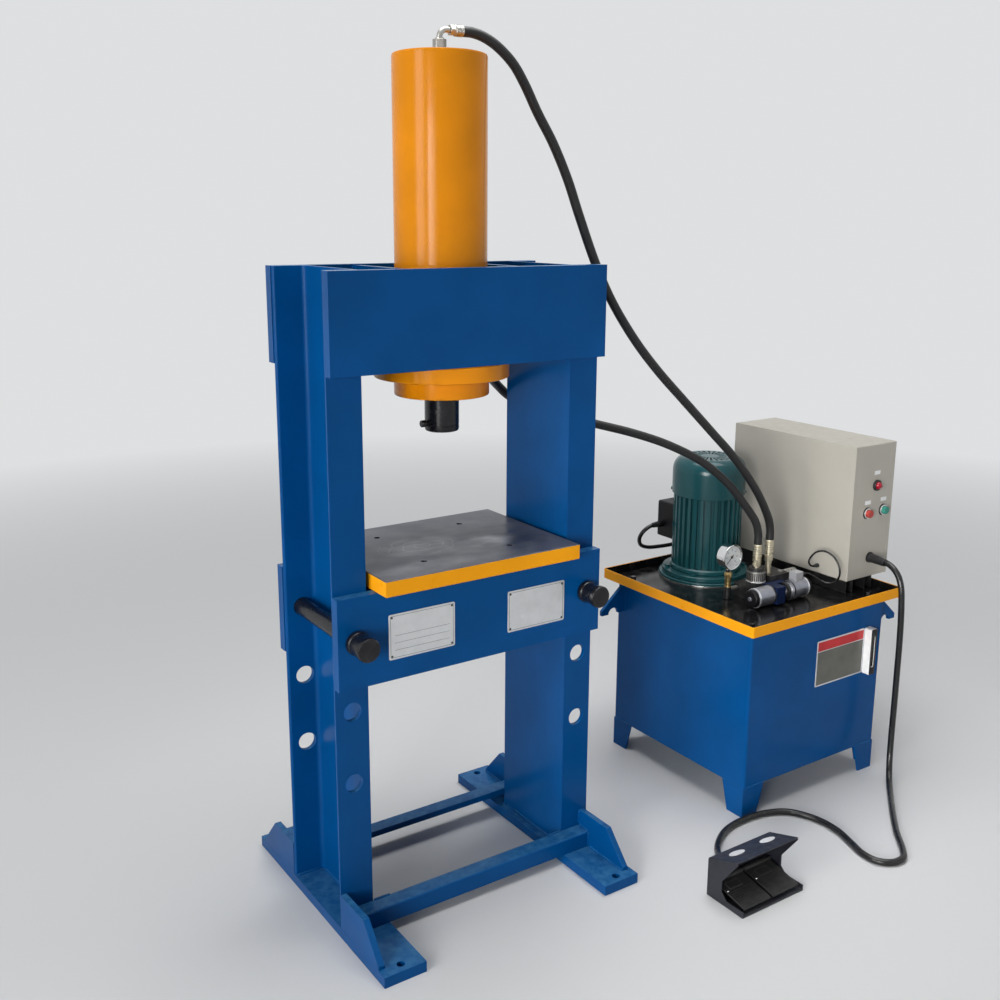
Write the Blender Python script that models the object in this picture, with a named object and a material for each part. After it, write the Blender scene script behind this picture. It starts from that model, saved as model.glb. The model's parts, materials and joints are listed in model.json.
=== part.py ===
"""Workshop press on two channel columns, with a floor-standing power unit, a control cabinet and a foot switch.

Lengths are in metres and +Z is up. The operator stands on the -Y side and the power unit is on the +X side.
Every place is measured from the press: its centre line on the floor is the point 0, 0, 0 of the root empty,
and the root empty is moved so that the world origin lies under the middle of the whole.
"""

import math

import bmesh
import bpy
from mathutils import Matrix, Vector

# Fits shared by everything
touch_gap = 0.0003
merge_distance = 0.00005
running_gap = 0.0003
weld_bite = 0.001

# Columns: two channels standing back to back, webs inwards
column_spacing = 0.5232
channel_depth = 0.250
channel_width = 0.078
channel_web = 0.008
flange_root = 0.0125
flange_tip = 0.009
root_radius = 0.011
toe_radius = 0.0055
frame_height = 1.445

# Crown and bed: a plate on each side of the columns with ribs between
plate_overhang = 0.0019
plate_thickness = 0.025
crown_height = 0.205
bed_height = 0.200
bed_bottom = 0.5865
rib_thickness = 0.016
rib_drop = 0.002
rib_end_gap = 0.004
crown_rib_x = 0.141
bed_rib_inner_x = 0.080
bed_rib_outer_x = 0.226

# Height setting pins
pin_radius = 0.020
pin_clearance = 0.0008
pin_inset = 0.0396
pin_rise = 0.1035
pin_pitch = 0.165
pin_head_radius = 0.026
pin_head_length = 0.060
pin_rear_reach = 0.030
pin_chamfer = 0.003
pin_groove_depth = 0.004
pin_groove_width = 0.014

# Table on the bed
table_length = 0.500
table_width = 0.380
table_thickness = 0.035
table_edge = 0.0015
tapped_radius = 0.007
tapped_x = 0.112
tapped_y = 0.108

# Plates on the bed's front face
nameplate_thickness = 0.0012
nameplate_corner = 0.004
left_nameplate_x = -0.143
left_nameplate_rise = 0.0965
left_nameplate_width = 0.163
left_nameplate_height = 0.101
right_nameplate_x = 0.1575
right_nameplate_rise = 0.0935
right_nameplate_width = 0.159
right_nameplate_height = 0.097

# Feet with their gussets, and the two ties between them
foot_inset = 0.0486
foot_width = 0.100
foot_length = 0.650
foot_thickness = 0.025
anchor_radius = 0.009
anchor_y = 0.303
gusset_thickness = 0.015
gusset_height = 0.081
gusset_shelf = 0.107
gusset_reach = 0.173
gusset_toe = 0.008
right_gusset_inset = 0.0095
tie_size = 0.040
tie_wall = 0.004
tie_stand_off = 0.001
tie_radius = 0.003

# Cylinder standing in the crown
barrel_radius = 0.101
barrel_bore = 0.080
barrel_rise = 0.432
barrel_cap = 0.040
barrel_edge = 0.006
mount_radius = 0.150
mount_height = 0.036
mount_edge = 0.003
gland_radius = 0.1055
gland_height = 0.040
gland_spigot = 0.045
gland_edge = 0.002
piston_height = 0.060
piston_headroom = 0.006
rod_radius = 0.035
rod_tail_radius = 0.022
head_radius = 0.0385
head_reach = 0.0824
head_height = 0.080
head_floor = 0.014
head_edge = 0.005
ram_stroke = 0.250
set_screw_rise = 0.019
set_screw_radius = 0.005
set_screw_head = 0.008
set_screw_reach = 0.015
set_screw_collar = 0.004

# Oil connections of the cylinder
port_radius = 0.0075
port_depth = 0.018
top_hex_flats = 0.038
top_hex_height = 0.026
top_pipe_radius = 0.0085
top_bend_radius = 0.016
top_pipe_rise = 0.049
top_nut_flats = 0.024
top_nut_start = 0.024
top_nut_length = 0.013
top_ferrule_length = 0.019
ferrule_radius = 0.012
side_port_rise = 0.0206
side_port_angle = 28
side_hex_flats = 0.030
side_hex_length = 0.018
side_ferrule_length = 0.036

# Oil tank on four folded legs
tank_left = 0.764
tank_right = 1.289
tank_front = -0.253
tank_rear = 0.275
tank_bottom = 0.083
tank_top = 0.5195
tank_wall = 0.004
tank_corner = 0.008
leg_top = 0.077
leg_foot = 0.055
leg_wall = 0.005
lug_reach = 0.087
lug_thickness = 0.010
lug_drop = 0.0075
lug_height = 0.082
lug_tip_height = 0.014
lug_notch_radius = 0.018
lug_notch_out = 0.045
lug_y = 0.245
drain_radius = 0.014
drain_length = 0.018
drain_z = 0.115

# Drip tray on the tank
tray_left = 0.733
tray_right = 1.320
tray_front = -0.284
tray_rear = 0.306
tray_sheet = 0.003
tray_height = 0.028
tray_corner = 0.006
tray_seat = 0.0005
tray_bolt_inset = 0.062
tray_bolt_radius = 0.0085
tray_bolt_height = 0.006
shaft_hole_radius = 0.040

# Level gauge and label on the tank's front
level_x = 1.226
level_width = 0.024
level_bottom = 0.307
level_top = 0.441
level_depth = 0.024
level_window_width = 0.010
level_window_inset = 0.022
level_window_depth = 0.004
label_x = 1.115
label_z = 0.375
label_width = 0.194
label_height = 0.131

# Motor, its fan and cowl, the ring below and the pump in the tank
motor_x = 1.003
motor_y = 0.165
ring_radius = 0.135
ring_height = 0.0095
flange_radius = 0.125
flange_height = 0.013
flange_bolt_circle = 0.1125
flange_bolt_radius = 0.0075
flange_bolt_height = 0.007
flange_bolts = 6
body_height = 0.2379
shield_radius = 0.103
shield_height = 0.015
shield_edge = 0.004
fin_radius = 0.099
fin_depth = 0.011
fin_root_share = 0.55
fins = 32
shaft_radius = 0.0115
shaft_bore = 0.0125
cowl_radius = 0.105
cowl_wall = 0.0025
cowl_overlap = 0.012
cowl_seat = 0.004
cowl_height = 0.1065
cowl_dome = 0.040
cowl_flat_radius = 0.072
cowl_slots = 18
cowl_slot_width = 0.005
cowl_slot_inner = 0.028
cowl_slot_outer = 0.066
fan_lift = 0.020
fan_height = 0.040
fan_radius = 0.088
fan_blade = 0.004
fan_hub_radius = 0.024
fan_blades = 7
shaft_tail = 0.0021
pump_flange_radius = 0.065
pump_flange_height = 0.012
pump_body_radius = 0.050
pump_body_height = 0.130
pump_pipe_radius = 0.014
pump_pipe_length = 0.2377
pump_shaft_radius = 0.009
pump_shaft_rise = 0.0105

# Terminal box behind the motor
box_left_reach = 0.058
box_right_reach = 0.062
box_reach = 0.148
box_drop = 0.061
box_height = 0.108
box_seat_reach = 0.075
box_corner = 0.006
box_gland_radius = 0.0095
box_gland_length = 0.018
box_gland_inset = 0.0205
box_gland_rise = 0.040

# Valve block with its stepped top
block_left = 0.930
block_step_x = 0.9852
block_right = 1.060
block_front = -0.106
block_rear = -0.022
block_low_height = 0.0394
block_high_height = 0.0664
block_edge = 0.002

# Directional valve on the block's front face
valve_inset = 0.060
valve_rise = 0.0289
valve_length = 0.070
valve_depth = 0.053
valve_height = 0.048
valve_edge = 0.003
solenoid_radius = 0.026
solenoid_length = 0.062
solenoid_neck_radius = 0.0155
solenoid_neck_length = 0.012
solenoid_pin_radius = 0.006
solenoid_pin_length = 0.005
plug_length = 0.030
plug_width = 0.027
plug_height = 0.025
plug_sink = 0.004
plug_corner = 0.003
plug_tail_radius = 0.005
plug_tail_length = 0.010

# Hose ends, the throttle sleeve and the relief knob on the block
front_hose_inset = 0.027
rear_hose_inset = 0.073
hose_inset = 0.028
front_ferrule_rise = 0.117
rear_ferrule_rise = 0.096
ferrule_height = 0.040
ferrule_band = 0.0015
end_hex_flats = 0.027
end_hex_height = 0.018
stem_radius = 0.0085
socket_depth = 0.012
sleeve_radius = 0.026
sleeve_height = 0.052
sleeve_ribs = 20
sleeve_rib_depth = 0.0012
sleeve_neck = 0.007
sleeve_neck_radius = 0.0215
knob_radius = 0.0125
knob_length = 0.052
knob_ribs = 16
knob_rib_depth = 0.001
knob_drop = 0.0145
knob_spigot_radius = 0.005
knob_spigot_length = 0.014

# Pressure gauge on its pipe
gauge_stand_off = 0.036
gauge_inset = 0.071
gauge_rise = 0.1214
gauge_radius = 0.035
gauge_depth = 0.030
gauge_rim = 0.003
gauge_dial_depth = 0.006
gauge_pipe_radius = 0.006
gauge_collar_radius = 0.010
gauge_collar_height = 0.016
gauge_collar_rise = 0.0764
gauge_branch_rise = 0.0264
gauge_post_radius = 0.0015
needle_length = 0.024
needle_tail = 0.008
needle_width = 0.0022
needle_thickness = 0.001
needle_hub_radius = 0.004
needle_turn = 135

# Control cabinet on two rails in the tray
cabinet_left = 1.189
cabinet_right = 1.3575
cabinet_front = -0.200
cabinet_rear = 0.249
cabinet_height = 0.3814
cabinet_wall = 0.002
cabinet_corner = 0.003
door_depth = 0.014
door_pin_inset = 0.004
door_lock_radius = 0.011
door_lock_height = 0.006
door_lock_inset = 0.030
rail_width = 0.030
rail_height = 0.040
rail_wall = 0.0025
rail_front = -0.188
rail_rear = 0.236
left_rail_x = 1.216
right_rail_x = 1.296
collar_radius = 0.0147
collar_length = 0.006
collar_bore = 0.0118
button_radius = 0.0112
button_proud = 0.009
button_stem_radius = 0.008
button_stem_length = 0.030
button_flange = 0.003
button_travel = 0.004
button_edge = 0.0012
lamp_inset = 0.095
lamp_rise = 0.2644
lamp_proud = 0.011
red_inset = 0.0635
red_rise = 0.1884
green_inset = 0.1305
green_rise = 0.1899
gland_inset = 0.088
gland_rise = 0.0574
cable_gland_radius = 0.0165
cable_gland_flats = 0.030
cable_gland_flange = 0.008
cable_gland_length = 0.028
cable_gland_sink = 0.010
cable_gland_spigot = 0.010
motor_gland_inset = 0.034
motor_gland_rise = 0.0484
motor_gland_radius = 0.011
motor_gland_length = 0.016
valve_gland_inset = 0.104
valve_gland_rise = 0.0214
valve_gland_radius = 0.006
valve_gland_length = 0.009

# Foot switch with two treads under a hood
pedal_left = 0.445
pedal_width = 0.200
pedal_front = -0.565
pedal_rear = -0.450
pedal_height = 0.100
pedal_wall = 0.003
pedal_base = 0.005
pedal_sill = 0.015
pedal_hood_reach = 0.091
pedal_hood_rise = 0.027
pedal_hood_lip = 0.007
pedal_waist_reach = 0.046
pedal_waist_z = 0.058
pedal_waist_low = 0.030
pedal_round = 0.009
tread_gap = 0.0075
tread_thickness = 0.005
tread_front = -0.559
tread_front_z = 0.0185
tread_lip = 0.005
tread_pivot_y = -0.464
tread_pivot_z = 0.0365
tread_hub_radius = 0.007
tread_pin_radius = 0.003
tread_travel = 4
pedal_gland_x = 0.552
pedal_gland_z = 0.032
pedal_gland_radius = 0.0125
pedal_gland_length = 0.013

# Hoses and cables
hose_radius = 0.011
pedal_cable_radius = 0.0085
motor_cable_radius = 0.006
valve_cable_radius = 0.00275
cord_spacing_share = 2.2
upper_hose_route = [
    (0.104, -0.004, 1.920), (0.136, -0.010, 1.903), (0.175, -0.015, 1.870), (0.204, -0.017, 1.831),
    (0.239, -0.020, 1.771), (0.279, -0.024, 1.709), (0.320, -0.027, 1.631), (0.353, -0.030, 1.551),
    (0.402, -0.034, 1.441), (0.448, -0.038, 1.357), (0.519, -0.044, 1.260), (0.592, -0.050, 1.180),
    (0.679, -0.058, 1.097), (0.770, -0.065, 1.012), (0.861, -0.073, 0.925), (0.940, -0.078, 0.831),
    (0.984, -0.078, 0.764), (0.998, -0.078, 0.734),
]
lower_hose_route = [
    (0.183, 0.099, 1.181), (0.210, 0.117, 1.168), (0.240, 0.134, 1.147), (0.282, 0.146, 1.116),
    (0.340, 0.147, 1.089), (0.420, 0.126, 1.060), (0.508, 0.087, 1.033), (0.610, 0.049, 1.003),
    (0.701, 0.015, 0.968), (0.793, -0.020, 0.917), (0.862, -0.045, 0.857), (0.918, -0.065, 0.787),
    (0.947, -0.076, 0.740),
]
pedal_cable_route = [
    (1.276, -0.276, 0.614), (1.274, -0.301, 0.595), (1.272, -0.315, 0.567), (1.271, -0.322, 0.520),
    (1.273, -0.325, 0.420), (1.277, -0.323, 0.320), (1.279, -0.322, 0.220), (1.276, -0.324, 0.120),
    (1.264, -0.334, 0.054), (1.238, -0.356, 0.018), (1.203, -0.386, 0.0088), (1.110, -0.465, 0.0088),
    (1.034, -0.535, 0.0088), (0.978, -0.595, 0.0088), (0.947, -0.618, 0.0088), (0.909, -0.616, 0.0088),
    (0.883, -0.590, 0.0088), (0.880, -0.552, 0.0088), (0.897, -0.500, 0.0088), (0.914, -0.445, 0.0088),
    (0.914, -0.378, 0.0088), (0.880, -0.309, 0.0088), (0.820, -0.279, 0.0088), (0.742, -0.272, 0.0088),
    (0.676, -0.283, 0.0088), (0.629, -0.307, 0.0088), (0.592, -0.337, 0.010), (0.566, -0.372, 0.016),
    (0.555, -0.402, 0.027),
]
motor_cable_route = [
    (0.896, 0.2945, 0.652), (0.878, 0.301, 0.638), (0.872, 0.310, 0.617), (0.882, 0.317, 0.594),
    (0.912, 0.319, 0.580), (0.960, 0.312, 0.577), (1.015, 0.299, 0.580), (1.062, 0.279, 0.586),
    (1.098, 0.250, 0.597), (1.130, 0.228, 0.605),
]
valve_cable_route = [
    (1.103, -0.1333, 0.5855), (1.122, -0.1365, 0.576), (1.140, -0.147, 0.563), (1.154, -0.165, 0.557),
    (1.161, -0.185, 0.566), (1.163, -0.194, 0.586), (1.163, -0.190, 0.611), (1.161, -0.173, 0.633),
    (1.158, -0.145, 0.643), (1.154, -0.117, 0.635), (1.149, -0.100, 0.614), (1.151, -0.095, 0.599),
    (1.161, -0.0955, 0.588),
]

# Values that follow from the ones above
column_inside = column_spacing / 2
column_outside = column_inside + channel_width
plate_length = (column_outside + plate_overhang) * 2
pin_x = column_outside - pin_inset
foot_x = column_outside - foot_inset
half_depth = channel_depth / 2
plate_inside = half_depth + touch_gap
plate_outside = plate_inside + plate_thickness
crown_bottom = frame_height - crown_height
bed_top = bed_bottom + bed_height
pin_top_z = bed_bottom + pin_rise
left_nameplate_z = bed_bottom + left_nameplate_rise
right_nameplate_z = bed_bottom + right_nameplate_rise
table_bottom = bed_top + touch_gap
pin_hole_radius = pin_radius + pin_clearance
pin_hole_z = [pin_top_z - pin_pitch * step for step in range(3)]
column_bottom = foot_thickness + touch_gap
mount_top = crown_bottom - touch_gap
mount_bottom = mount_top - mount_height
gland_top = mount_bottom - touch_gap
gland_bottom = gland_top - gland_height
side_port_z = gland_bottom + side_port_rise
barrel_top = frame_height + barrel_rise
cap_underside = barrel_top - barrel_cap
top_pipe_z = barrel_top + top_pipe_rise
head_bottom = gland_bottom - head_reach
head_top = head_bottom + head_height
set_screw_z = head_bottom + set_screw_rise
lug_tip_x = tank_right + lug_reach
lug_top = tank_top - lug_drop
lug_tip_z = lug_top - lug_height
tray_bottom = tank_top + tray_seat
tray_floor = tray_bottom + tray_sheet
tray_lip = tray_bottom + tray_height
ring_bottom = tray_floor + touch_gap
flange_bottom = ring_bottom + ring_height + touch_gap
flange_top = flange_bottom + flange_height
body_top = flange_top + body_height
cowl_bottom = body_top - cowl_overlap
cowl_top = cowl_bottom + cowl_height
cowl_shoulder_z = cowl_top - cowl_dome
fan_bottom = body_top + fan_lift
shaft_bottom = flange_bottom - shaft_tail
pump_shaft_top = tray_bottom + pump_shaft_rise
box_left = motor_x - box_left_reach
box_right = motor_x + box_right_reach
box_top = body_top - box_drop
box_bottom = box_top - box_height
box_seat_y = motor_y + box_seat_reach
box_rear = motor_y + box_reach
box_gland_y = box_rear - box_gland_inset
box_gland_z = box_bottom + box_gland_rise
block_bottom = tray_floor + touch_gap * 2
block_low_top = block_bottom + block_low_height
block_high_top = block_bottom + block_high_height
valve_x = block_left + valve_inset
valve_z = block_bottom + valve_rise
front_hose_x = block_left + front_hose_inset
rear_hose_x = block_left + rear_hose_inset
hose_y = block_front + hose_inset
front_ferrule_top = block_low_top + front_ferrule_rise
rear_ferrule_top = block_high_top + rear_ferrule_rise
knob_z = block_high_top - knob_drop
gauge_x = block_left - gauge_stand_off
gauge_y = block_front + gauge_inset
gauge_pipe_bottom = block_bottom
gauge_z = gauge_pipe_bottom + gauge_rise
gauge_collar_top = gauge_pipe_bottom + gauge_collar_rise
gauge_branch_z = gauge_pipe_bottom + gauge_branch_rise
cabinet_bottom = tray_floor + rail_height + touch_gap * 2
cabinet_top = cabinet_bottom + cabinet_height
lamp_x = cabinet_left + lamp_inset
lamp_z = cabinet_bottom + lamp_rise
red_x = cabinet_left + red_inset
red_z = cabinet_bottom + red_rise
green_x = cabinet_left + green_inset
green_z = cabinet_bottom + green_rise
gland_x = cabinet_left + gland_inset
gland_z = cabinet_bottom + gland_rise
motor_gland_y = cabinet_rear - motor_gland_inset
motor_gland_z = cabinet_bottom + motor_gland_rise
valve_gland_y = cabinet_front + valve_gland_inset
valve_gland_z = cabinet_bottom + valve_gland_rise
plate_front = -plate_outside
door_face = cabinet_right - door_depth
pedal_right = pedal_left + pedal_width
tread_width = (pedal_width - 2 * pedal_wall - 3 * tread_gap) / 2
box_min_x = -plate_length / 2
box_max_x = lug_tip_x
box_min_y = pedal_front
box_max_y = foot_length / 2

AXES = {
    "z": Matrix.Identity(4),
    "-z": Matrix.Rotation(math.pi, 4, "X"),
    "x": Matrix.Rotation(math.pi / 2, 4, "Y"),
    "-x": Matrix.Rotation(-math.pi / 2, 4, "Y"),
    "y": Matrix.Rotation(-math.pi / 2, 4, "X"),
    "-y": Matrix.Rotation(math.pi / 2, 4, "X"),
}


def clear_scene():
    """Remove everything the file opened with."""
    for item in list(bpy.data.objects):
        bpy.data.objects.remove(item, do_unlink=True)


def material(name, colour, metallic, roughness):
    """Make one plain Principled material."""
    made = bpy.data.materials.new(name)
    made.use_nodes = True
    shader = made.node_tree.nodes["Principled BSDF"]
    shader.inputs["Base Color"].default_value = (*colour, 1)
    shader.inputs["Metallic"].default_value = metallic
    shader.inputs["Roughness"].default_value = roughness
    made.diffuse_color = (*colour, 1)
    return made


def empty(name, place, parent):
    """Make an empty that carries other objects."""
    made = bpy.data.objects.new(name, None)
    made.empty_display_size = pin_head_length
    made.location = place
    made.parent = parent
    bpy.context.scene.collection.objects.link(made)
    return made


def as_object(name, shape, look=None, place=(0, 0, 0), parent=None, smooth=False):
    """Turn a bmesh into a named object whose origin is at place, measured in its parent."""
    bmesh.ops.recalc_face_normals(shape, faces=shape.faces)
    for face in shape.faces:
        face.smooth = smooth
    mesh = bpy.data.meshes.new(name)
    shape.to_mesh(mesh)
    shape.free()
    if smooth:
        mesh.set_sharp_from_angle(angle=math.radians(32))
    made = bpy.data.objects.new(name, mesh)
    if look is not None:
        mesh.materials.append(look)
    made.location = place
    made.parent = parent
    bpy.context.scene.collection.objects.link(made)
    return made


def moved(shape, offset=(0, 0, 0), turn=None):
    """Turn a bmesh about its own zero point, then shift it."""
    if turn is not None:
        bmesh.ops.transform(shape, matrix=turn, verts=shape.verts)
    bmesh.ops.translate(shape, vec=Vector(offset), verts=shape.verts)
    return shape


def place_point(axis, first, second, along):
    """Put a point of an outline into space: the outline lies across the axis."""
    if axis == "x":
        return (along, first, second)
    if axis == "y":
        return (first, along, second)
    return (first, second, along)


def prism(points, low, high, axis="z"):
    """Extrude a closed outline from low to high along an axis."""
    shape = bmesh.new()
    rim = [shape.verts.new(place_point(axis, a, b, low)) for a, b in points]
    base = shape.faces.new(rim)
    grown = bmesh.ops.extrude_face_region(shape, geom=[base])
    top = [item for item in grown["geom"] if isinstance(item, bmesh.types.BMVert)]
    bmesh.ops.translate(shape, vec=place_point(axis, 0, 0, high - low), verts=top)
    return shape


def stack(loops):
    """Close a row of equal loops into one body with a flat face on each end."""
    shape = bmesh.new()
    rows = [[shape.verts.new(point) for point in loop] for loop in loops]
    count = len(rows[0])
    for lower, upper in zip(rows, rows[1:]):
        for index in range(count):
            after = (index + 1) % count
            shape.faces.new((lower[index], lower[after], upper[after], upper[index]))
    shape.faces.new(rows[0])
    shape.faces.new(rows[-1])
    return shape


def arc(centre_a, centre_b, radius, start, end, steps):
    """Points on an arc, angles in degrees."""
    turns = [math.radians(start + (end - start) * step / steps) for step in range(steps + 1)]
    return [(centre_a + radius * math.cos(turn), centre_b + radius * math.sin(turn)) for turn in turns]


def circle(centre_a, centre_b, radius, count):
    """Points on a full circle."""
    return arc(centre_a, centre_b, radius, 0, 360 - 360 / count, count - 1)


def hexagon(flats):
    """A hexagon measured across its flats, around zero."""
    return circle(0, 0, flats / math.sqrt(3), 6)


def rectangle(low_a, high_a, low_b, high_b, radius=0, steps=4):
    """A rectangle, with rounded corners where a radius is given."""
    if not radius:
        return [(low_a, low_b), (high_a, low_b), (high_a, high_b), (low_a, high_b)]
    points = arc(high_a - radius, high_b - radius, radius, 0, 90, steps)
    points += arc(low_a + radius, high_b - radius, radius, 90, 180, steps)
    points += arc(low_a + radius, low_b + radius, radius, 180, 270, steps)
    points += arc(high_a - radius, low_b + radius, radius, 270, 360, steps)
    return points


def lathe(profile, steps, closed=False):
    """Spin radius and height pairs about Z, listed from the top down the outer side."""
    shape = bmesh.new()
    verts = [shape.verts.new((radius, 0, height)) for radius, height in profile]
    pairs = list(zip(verts, verts[1:]))
    if closed:
        pairs.append((verts[-1], verts[0]))
    edges = [shape.edges.new(pair) for pair in pairs]
    bmesh.ops.spin(
        shape, geom=verts + edges, cent=(0, 0, 0), axis=(0, 0, 1), angle=2 * math.pi, steps=steps, use_merge=True,
    )
    bmesh.ops.remove_doubles(shape, verts=shape.verts, dist=merge_distance)
    return shape


def rod(radius, low, high, edge=0, steps=20):
    """A round bar along Z with broken edges."""
    if not edge:
        return lathe([(0, high), (radius, high), (radius, low), (0, low)], steps)
    profile = [(0, high), (radius - edge, high), (radius, high - edge), (radius, low + edge)]
    profile += [(radius - edge, low), (0, low)]
    return lathe(profile, steps)


def ring(outer, inner, low, high, edge=0, steps=32):
    """A round collar along Z."""
    if not edge:
        return lathe([(inner, high), (outer, high), (outer, low), (inner, low)], steps, closed=True)
    profile = [(inner, high), (outer - edge, high), (outer, high - edge)]
    profile += [(outer, low + edge), (outer - edge, low), (inner, low)]
    return lathe(profile, steps, closed=True)


def ribbed(radius, depth, count, low, high, edge):
    """A grip with straight ribs along Z and a chamfer on each end."""
    outline = []
    for index in range(count):
        for share, size in ((0.0, radius), (0.4, radius), (0.5, radius - depth), (0.9, radius - depth)):
            turn = 2 * math.pi * (index + share) / count
            outline.append((size * math.cos(turn), size * math.sin(turn)))
    narrow = (radius - edge) / radius
    levels = [(low, narrow), (low + edge, 1), (high - edge, 1), (high, narrow)]
    return stack([[(a * share, b * share, height) for a, b in outline] for height, share in levels])


def boolean(target, operation, others):
    """Join or cut with other objects through EXACT booleans; the others are tools only."""
    for other in others:
        step = target.modifiers.new(other.name, "BOOLEAN")
        step.operation = operation
        step.solver = "EXACT"
        step.object = other
        other.hide_render = True
        other.display_type = "WIRE"
    return target


def tool(name, shape, parent, place=(0, 0, 0), smooth=False):
    """A body that only joins or cuts another one."""
    return as_object(name, shape, None, place, parent, smooth)


def smooth_route(points, spacing):
    """Centripetal Catmull-Rom curve from the second point to the last but one, read off at an even spacing."""
    path = [Vector(point) for point in points]
    dense = [path[1]]
    for index in range(1, len(path) - 2):
        p0, p1, p2, p3 = path[index - 1:index + 3]
        t0 = 0
        t1 = t0 + (p1 - p0).length ** 0.5
        t2 = t1 + (p2 - p1).length ** 0.5
        t3 = t2 + (p3 - p2).length ** 0.5
        for step in range(1, 25):
            t = t1 + (t2 - t1) * step / 24
            a1 = p0 * ((t1 - t) / (t1 - t0)) + p1 * ((t - t0) / (t1 - t0))
            a2 = p1 * ((t2 - t) / (t2 - t1)) + p2 * ((t - t1) / (t2 - t1))
            a3 = p2 * ((t3 - t) / (t3 - t2)) + p3 * ((t - t2) / (t3 - t2))
            b1 = a1 * ((t2 - t) / (t2 - t0)) + a2 * ((t - t0) / (t2 - t0))
            b2 = a2 * ((t3 - t) / (t3 - t1)) + a3 * ((t - t1) / (t3 - t1))
            dense.append(b1 * ((t2 - t) / (t2 - t1)) + b2 * ((t - t1) / (t2 - t1)))
    lengths = [0]
    for before, after in zip(dense, dense[1:]):
        lengths.append(lengths[-1] + (after - before).length)
    count = max(2, math.ceil(lengths[-1] / spacing))
    even = []
    index = 0
    for step in range(count + 1):
        goal = lengths[-1] * step / count
        while index < len(dense) - 2 and lengths[index + 1] < goal:
            index += 1
        span = lengths[index + 1] - lengths[index]
        even.append(dense[index].lerp(dense[index + 1], (goal - lengths[index]) / span))
    return even


def cord(name, route, ends, radius, look, parent, detail=2):
    """A hose or cable: one poly curve with a round section and filled ends.

    Each of the two ends is a point and the direction in which the cord leaves the piece that holds it.
    """
    lead = radius * 2
    start, stop = [Vector(point) for point, way in ends]
    near, far = [Vector(point) + Vector(way) * lead for point, way in ends]
    points = [start, *smooth_route([start, near, *route, far, stop], lead * cord_spacing_share), stop]
    curve = bpy.data.curves.new(name, "CURVE")
    curve.dimensions = "3D"
    curve.resolution_u = 1
    curve.render_resolution_u = 1
    curve.bevel_depth = radius
    curve.bevel_resolution = detail
    curve.use_fill_caps = True
    spline = curve.splines.new("POLY")
    spline.points.add(len(points) - 1)
    for spot, point in zip(spline.points, points):
        spot.co = (*point, 1)
    spline.use_smooth = True
    curve.materials.append(look)
    made = bpy.data.objects.new(name, curve)
    made.parent = parent
    bpy.context.scene.collection.objects.link(made)
    return made


def swept(points, radius, sides):
    """A pipe with flat ends along a row of points."""
    path = [Vector(point) for point in points]
    loops = []
    side = None
    for index, point in enumerate(path):
        ahead = path[min(index + 1, len(path) - 1)] - path[max(index - 1, 0)]
        ahead.normalize()
        if side is None:
            side = ahead.orthogonal().normalized()
        side = (side - ahead * side.dot(ahead)).normalized()
        other = ahead.cross(side)
        turns = [2 * math.pi * step / sides for step in range(sides)]
        loops.append([point + (side * math.cos(turn) + other * math.sin(turn)) * radius for turn in turns])
    return stack(loops)


clear_scene()
root = empty("press_origin", (-(box_min_x + box_max_x) / 2, -(box_min_y + box_max_y) / 2, 0), None)

blue = material("blue_enamel", (0.012, 0.085, 0.34), 0, 0.3)
orange = material("orange_enamel", (0.72, 0.24, 0.015), 0, 0.3)
black = material("black_steel", (0.018, 0.018, 0.02), 0.4, 0.42)
machined = material("machined_steel", (0.55, 0.55, 0.54), 1, 0.34)
chrome = material("chromed_steel", (0.78, 0.78, 0.78), 1, 0.12)
plated = material("zinc_plated_steel", (0.62, 0.60, 0.54), 1, 0.3)
brass = material("brass", (0.72, 0.52, 0.22), 1, 0.28)
plate_metal = material("plate_aluminium", (0.72, 0.73, 0.74), 0.9, 0.4)
teal = material("teal_enamel", (0.012, 0.085, 0.09), 0, 0.35)
beige = material("beige_enamel", (0.52, 0.50, 0.44), 0, 0.45)
rubber = material("black_rubber", (0.012, 0.012, 0.013), 0, 0.5)
grey_plastic = material("grey_plastic", (0.25, 0.26, 0.27), 0, 0.45)
white_plastic = material("white_plastic", (0.75, 0.76, 0.76), 0, 0.4)
red_lens = material("red_lens", (0.62, 0.012, 0.012), 0, 0.2)
red_cap = material("red_cap", (0.55, 0.03, 0.025), 0, 0.3)
green_cap = material("green_cap", (0.01, 0.32, 0.19), 0, 0.3)
dark_plastic = material("dark_plastic", (0.02, 0.021, 0.024), 0, 0.45)
ink = material("needle_black", (0.015, 0.015, 0.015), 0, 0.5)


def channel_outline(side):
    """Section of one column, web towards the press centre; side is -1 or 1."""
    web = column_inside + channel_web
    tip = column_outside
    slope = (flange_root - flange_tip) / (tip - web)
    root_y = half_depth - flange_root - slope * root_radius
    points = [(column_inside, -half_depth), (tip, -half_depth)]
    points += arc(tip - toe_radius, -half_depth + flange_tip - toe_radius, toe_radius, 0, 80, 3)
    points += arc(web + root_radius, -root_y + root_radius, root_radius, 270, 180, 4)
    points += arc(web + root_radius, root_y - root_radius, root_radius, 180, 90, 4)
    points += arc(tip - toe_radius, half_depth - flange_tip + toe_radius, toe_radius, -80, 0, 3)
    points += [(tip, half_depth), (column_inside, half_depth)]
    return [(side * x, y) for x, y in points]


def pin_holes(name, side, heights, parent):
    """Round cutters for the height pins on one side of the press."""
    cutters = []
    for number, height in enumerate(heights):
        shape = rod(pin_hole_radius, -plate_outside * 2, plate_outside * 2, steps=24)
        cutter = tool(f"{name}_{number + 1}", moved(shape, turn=AXES["y"]), parent, (side * pin_x, 0, height), True)
        cutters.append(cutter)
    return cutters


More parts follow.
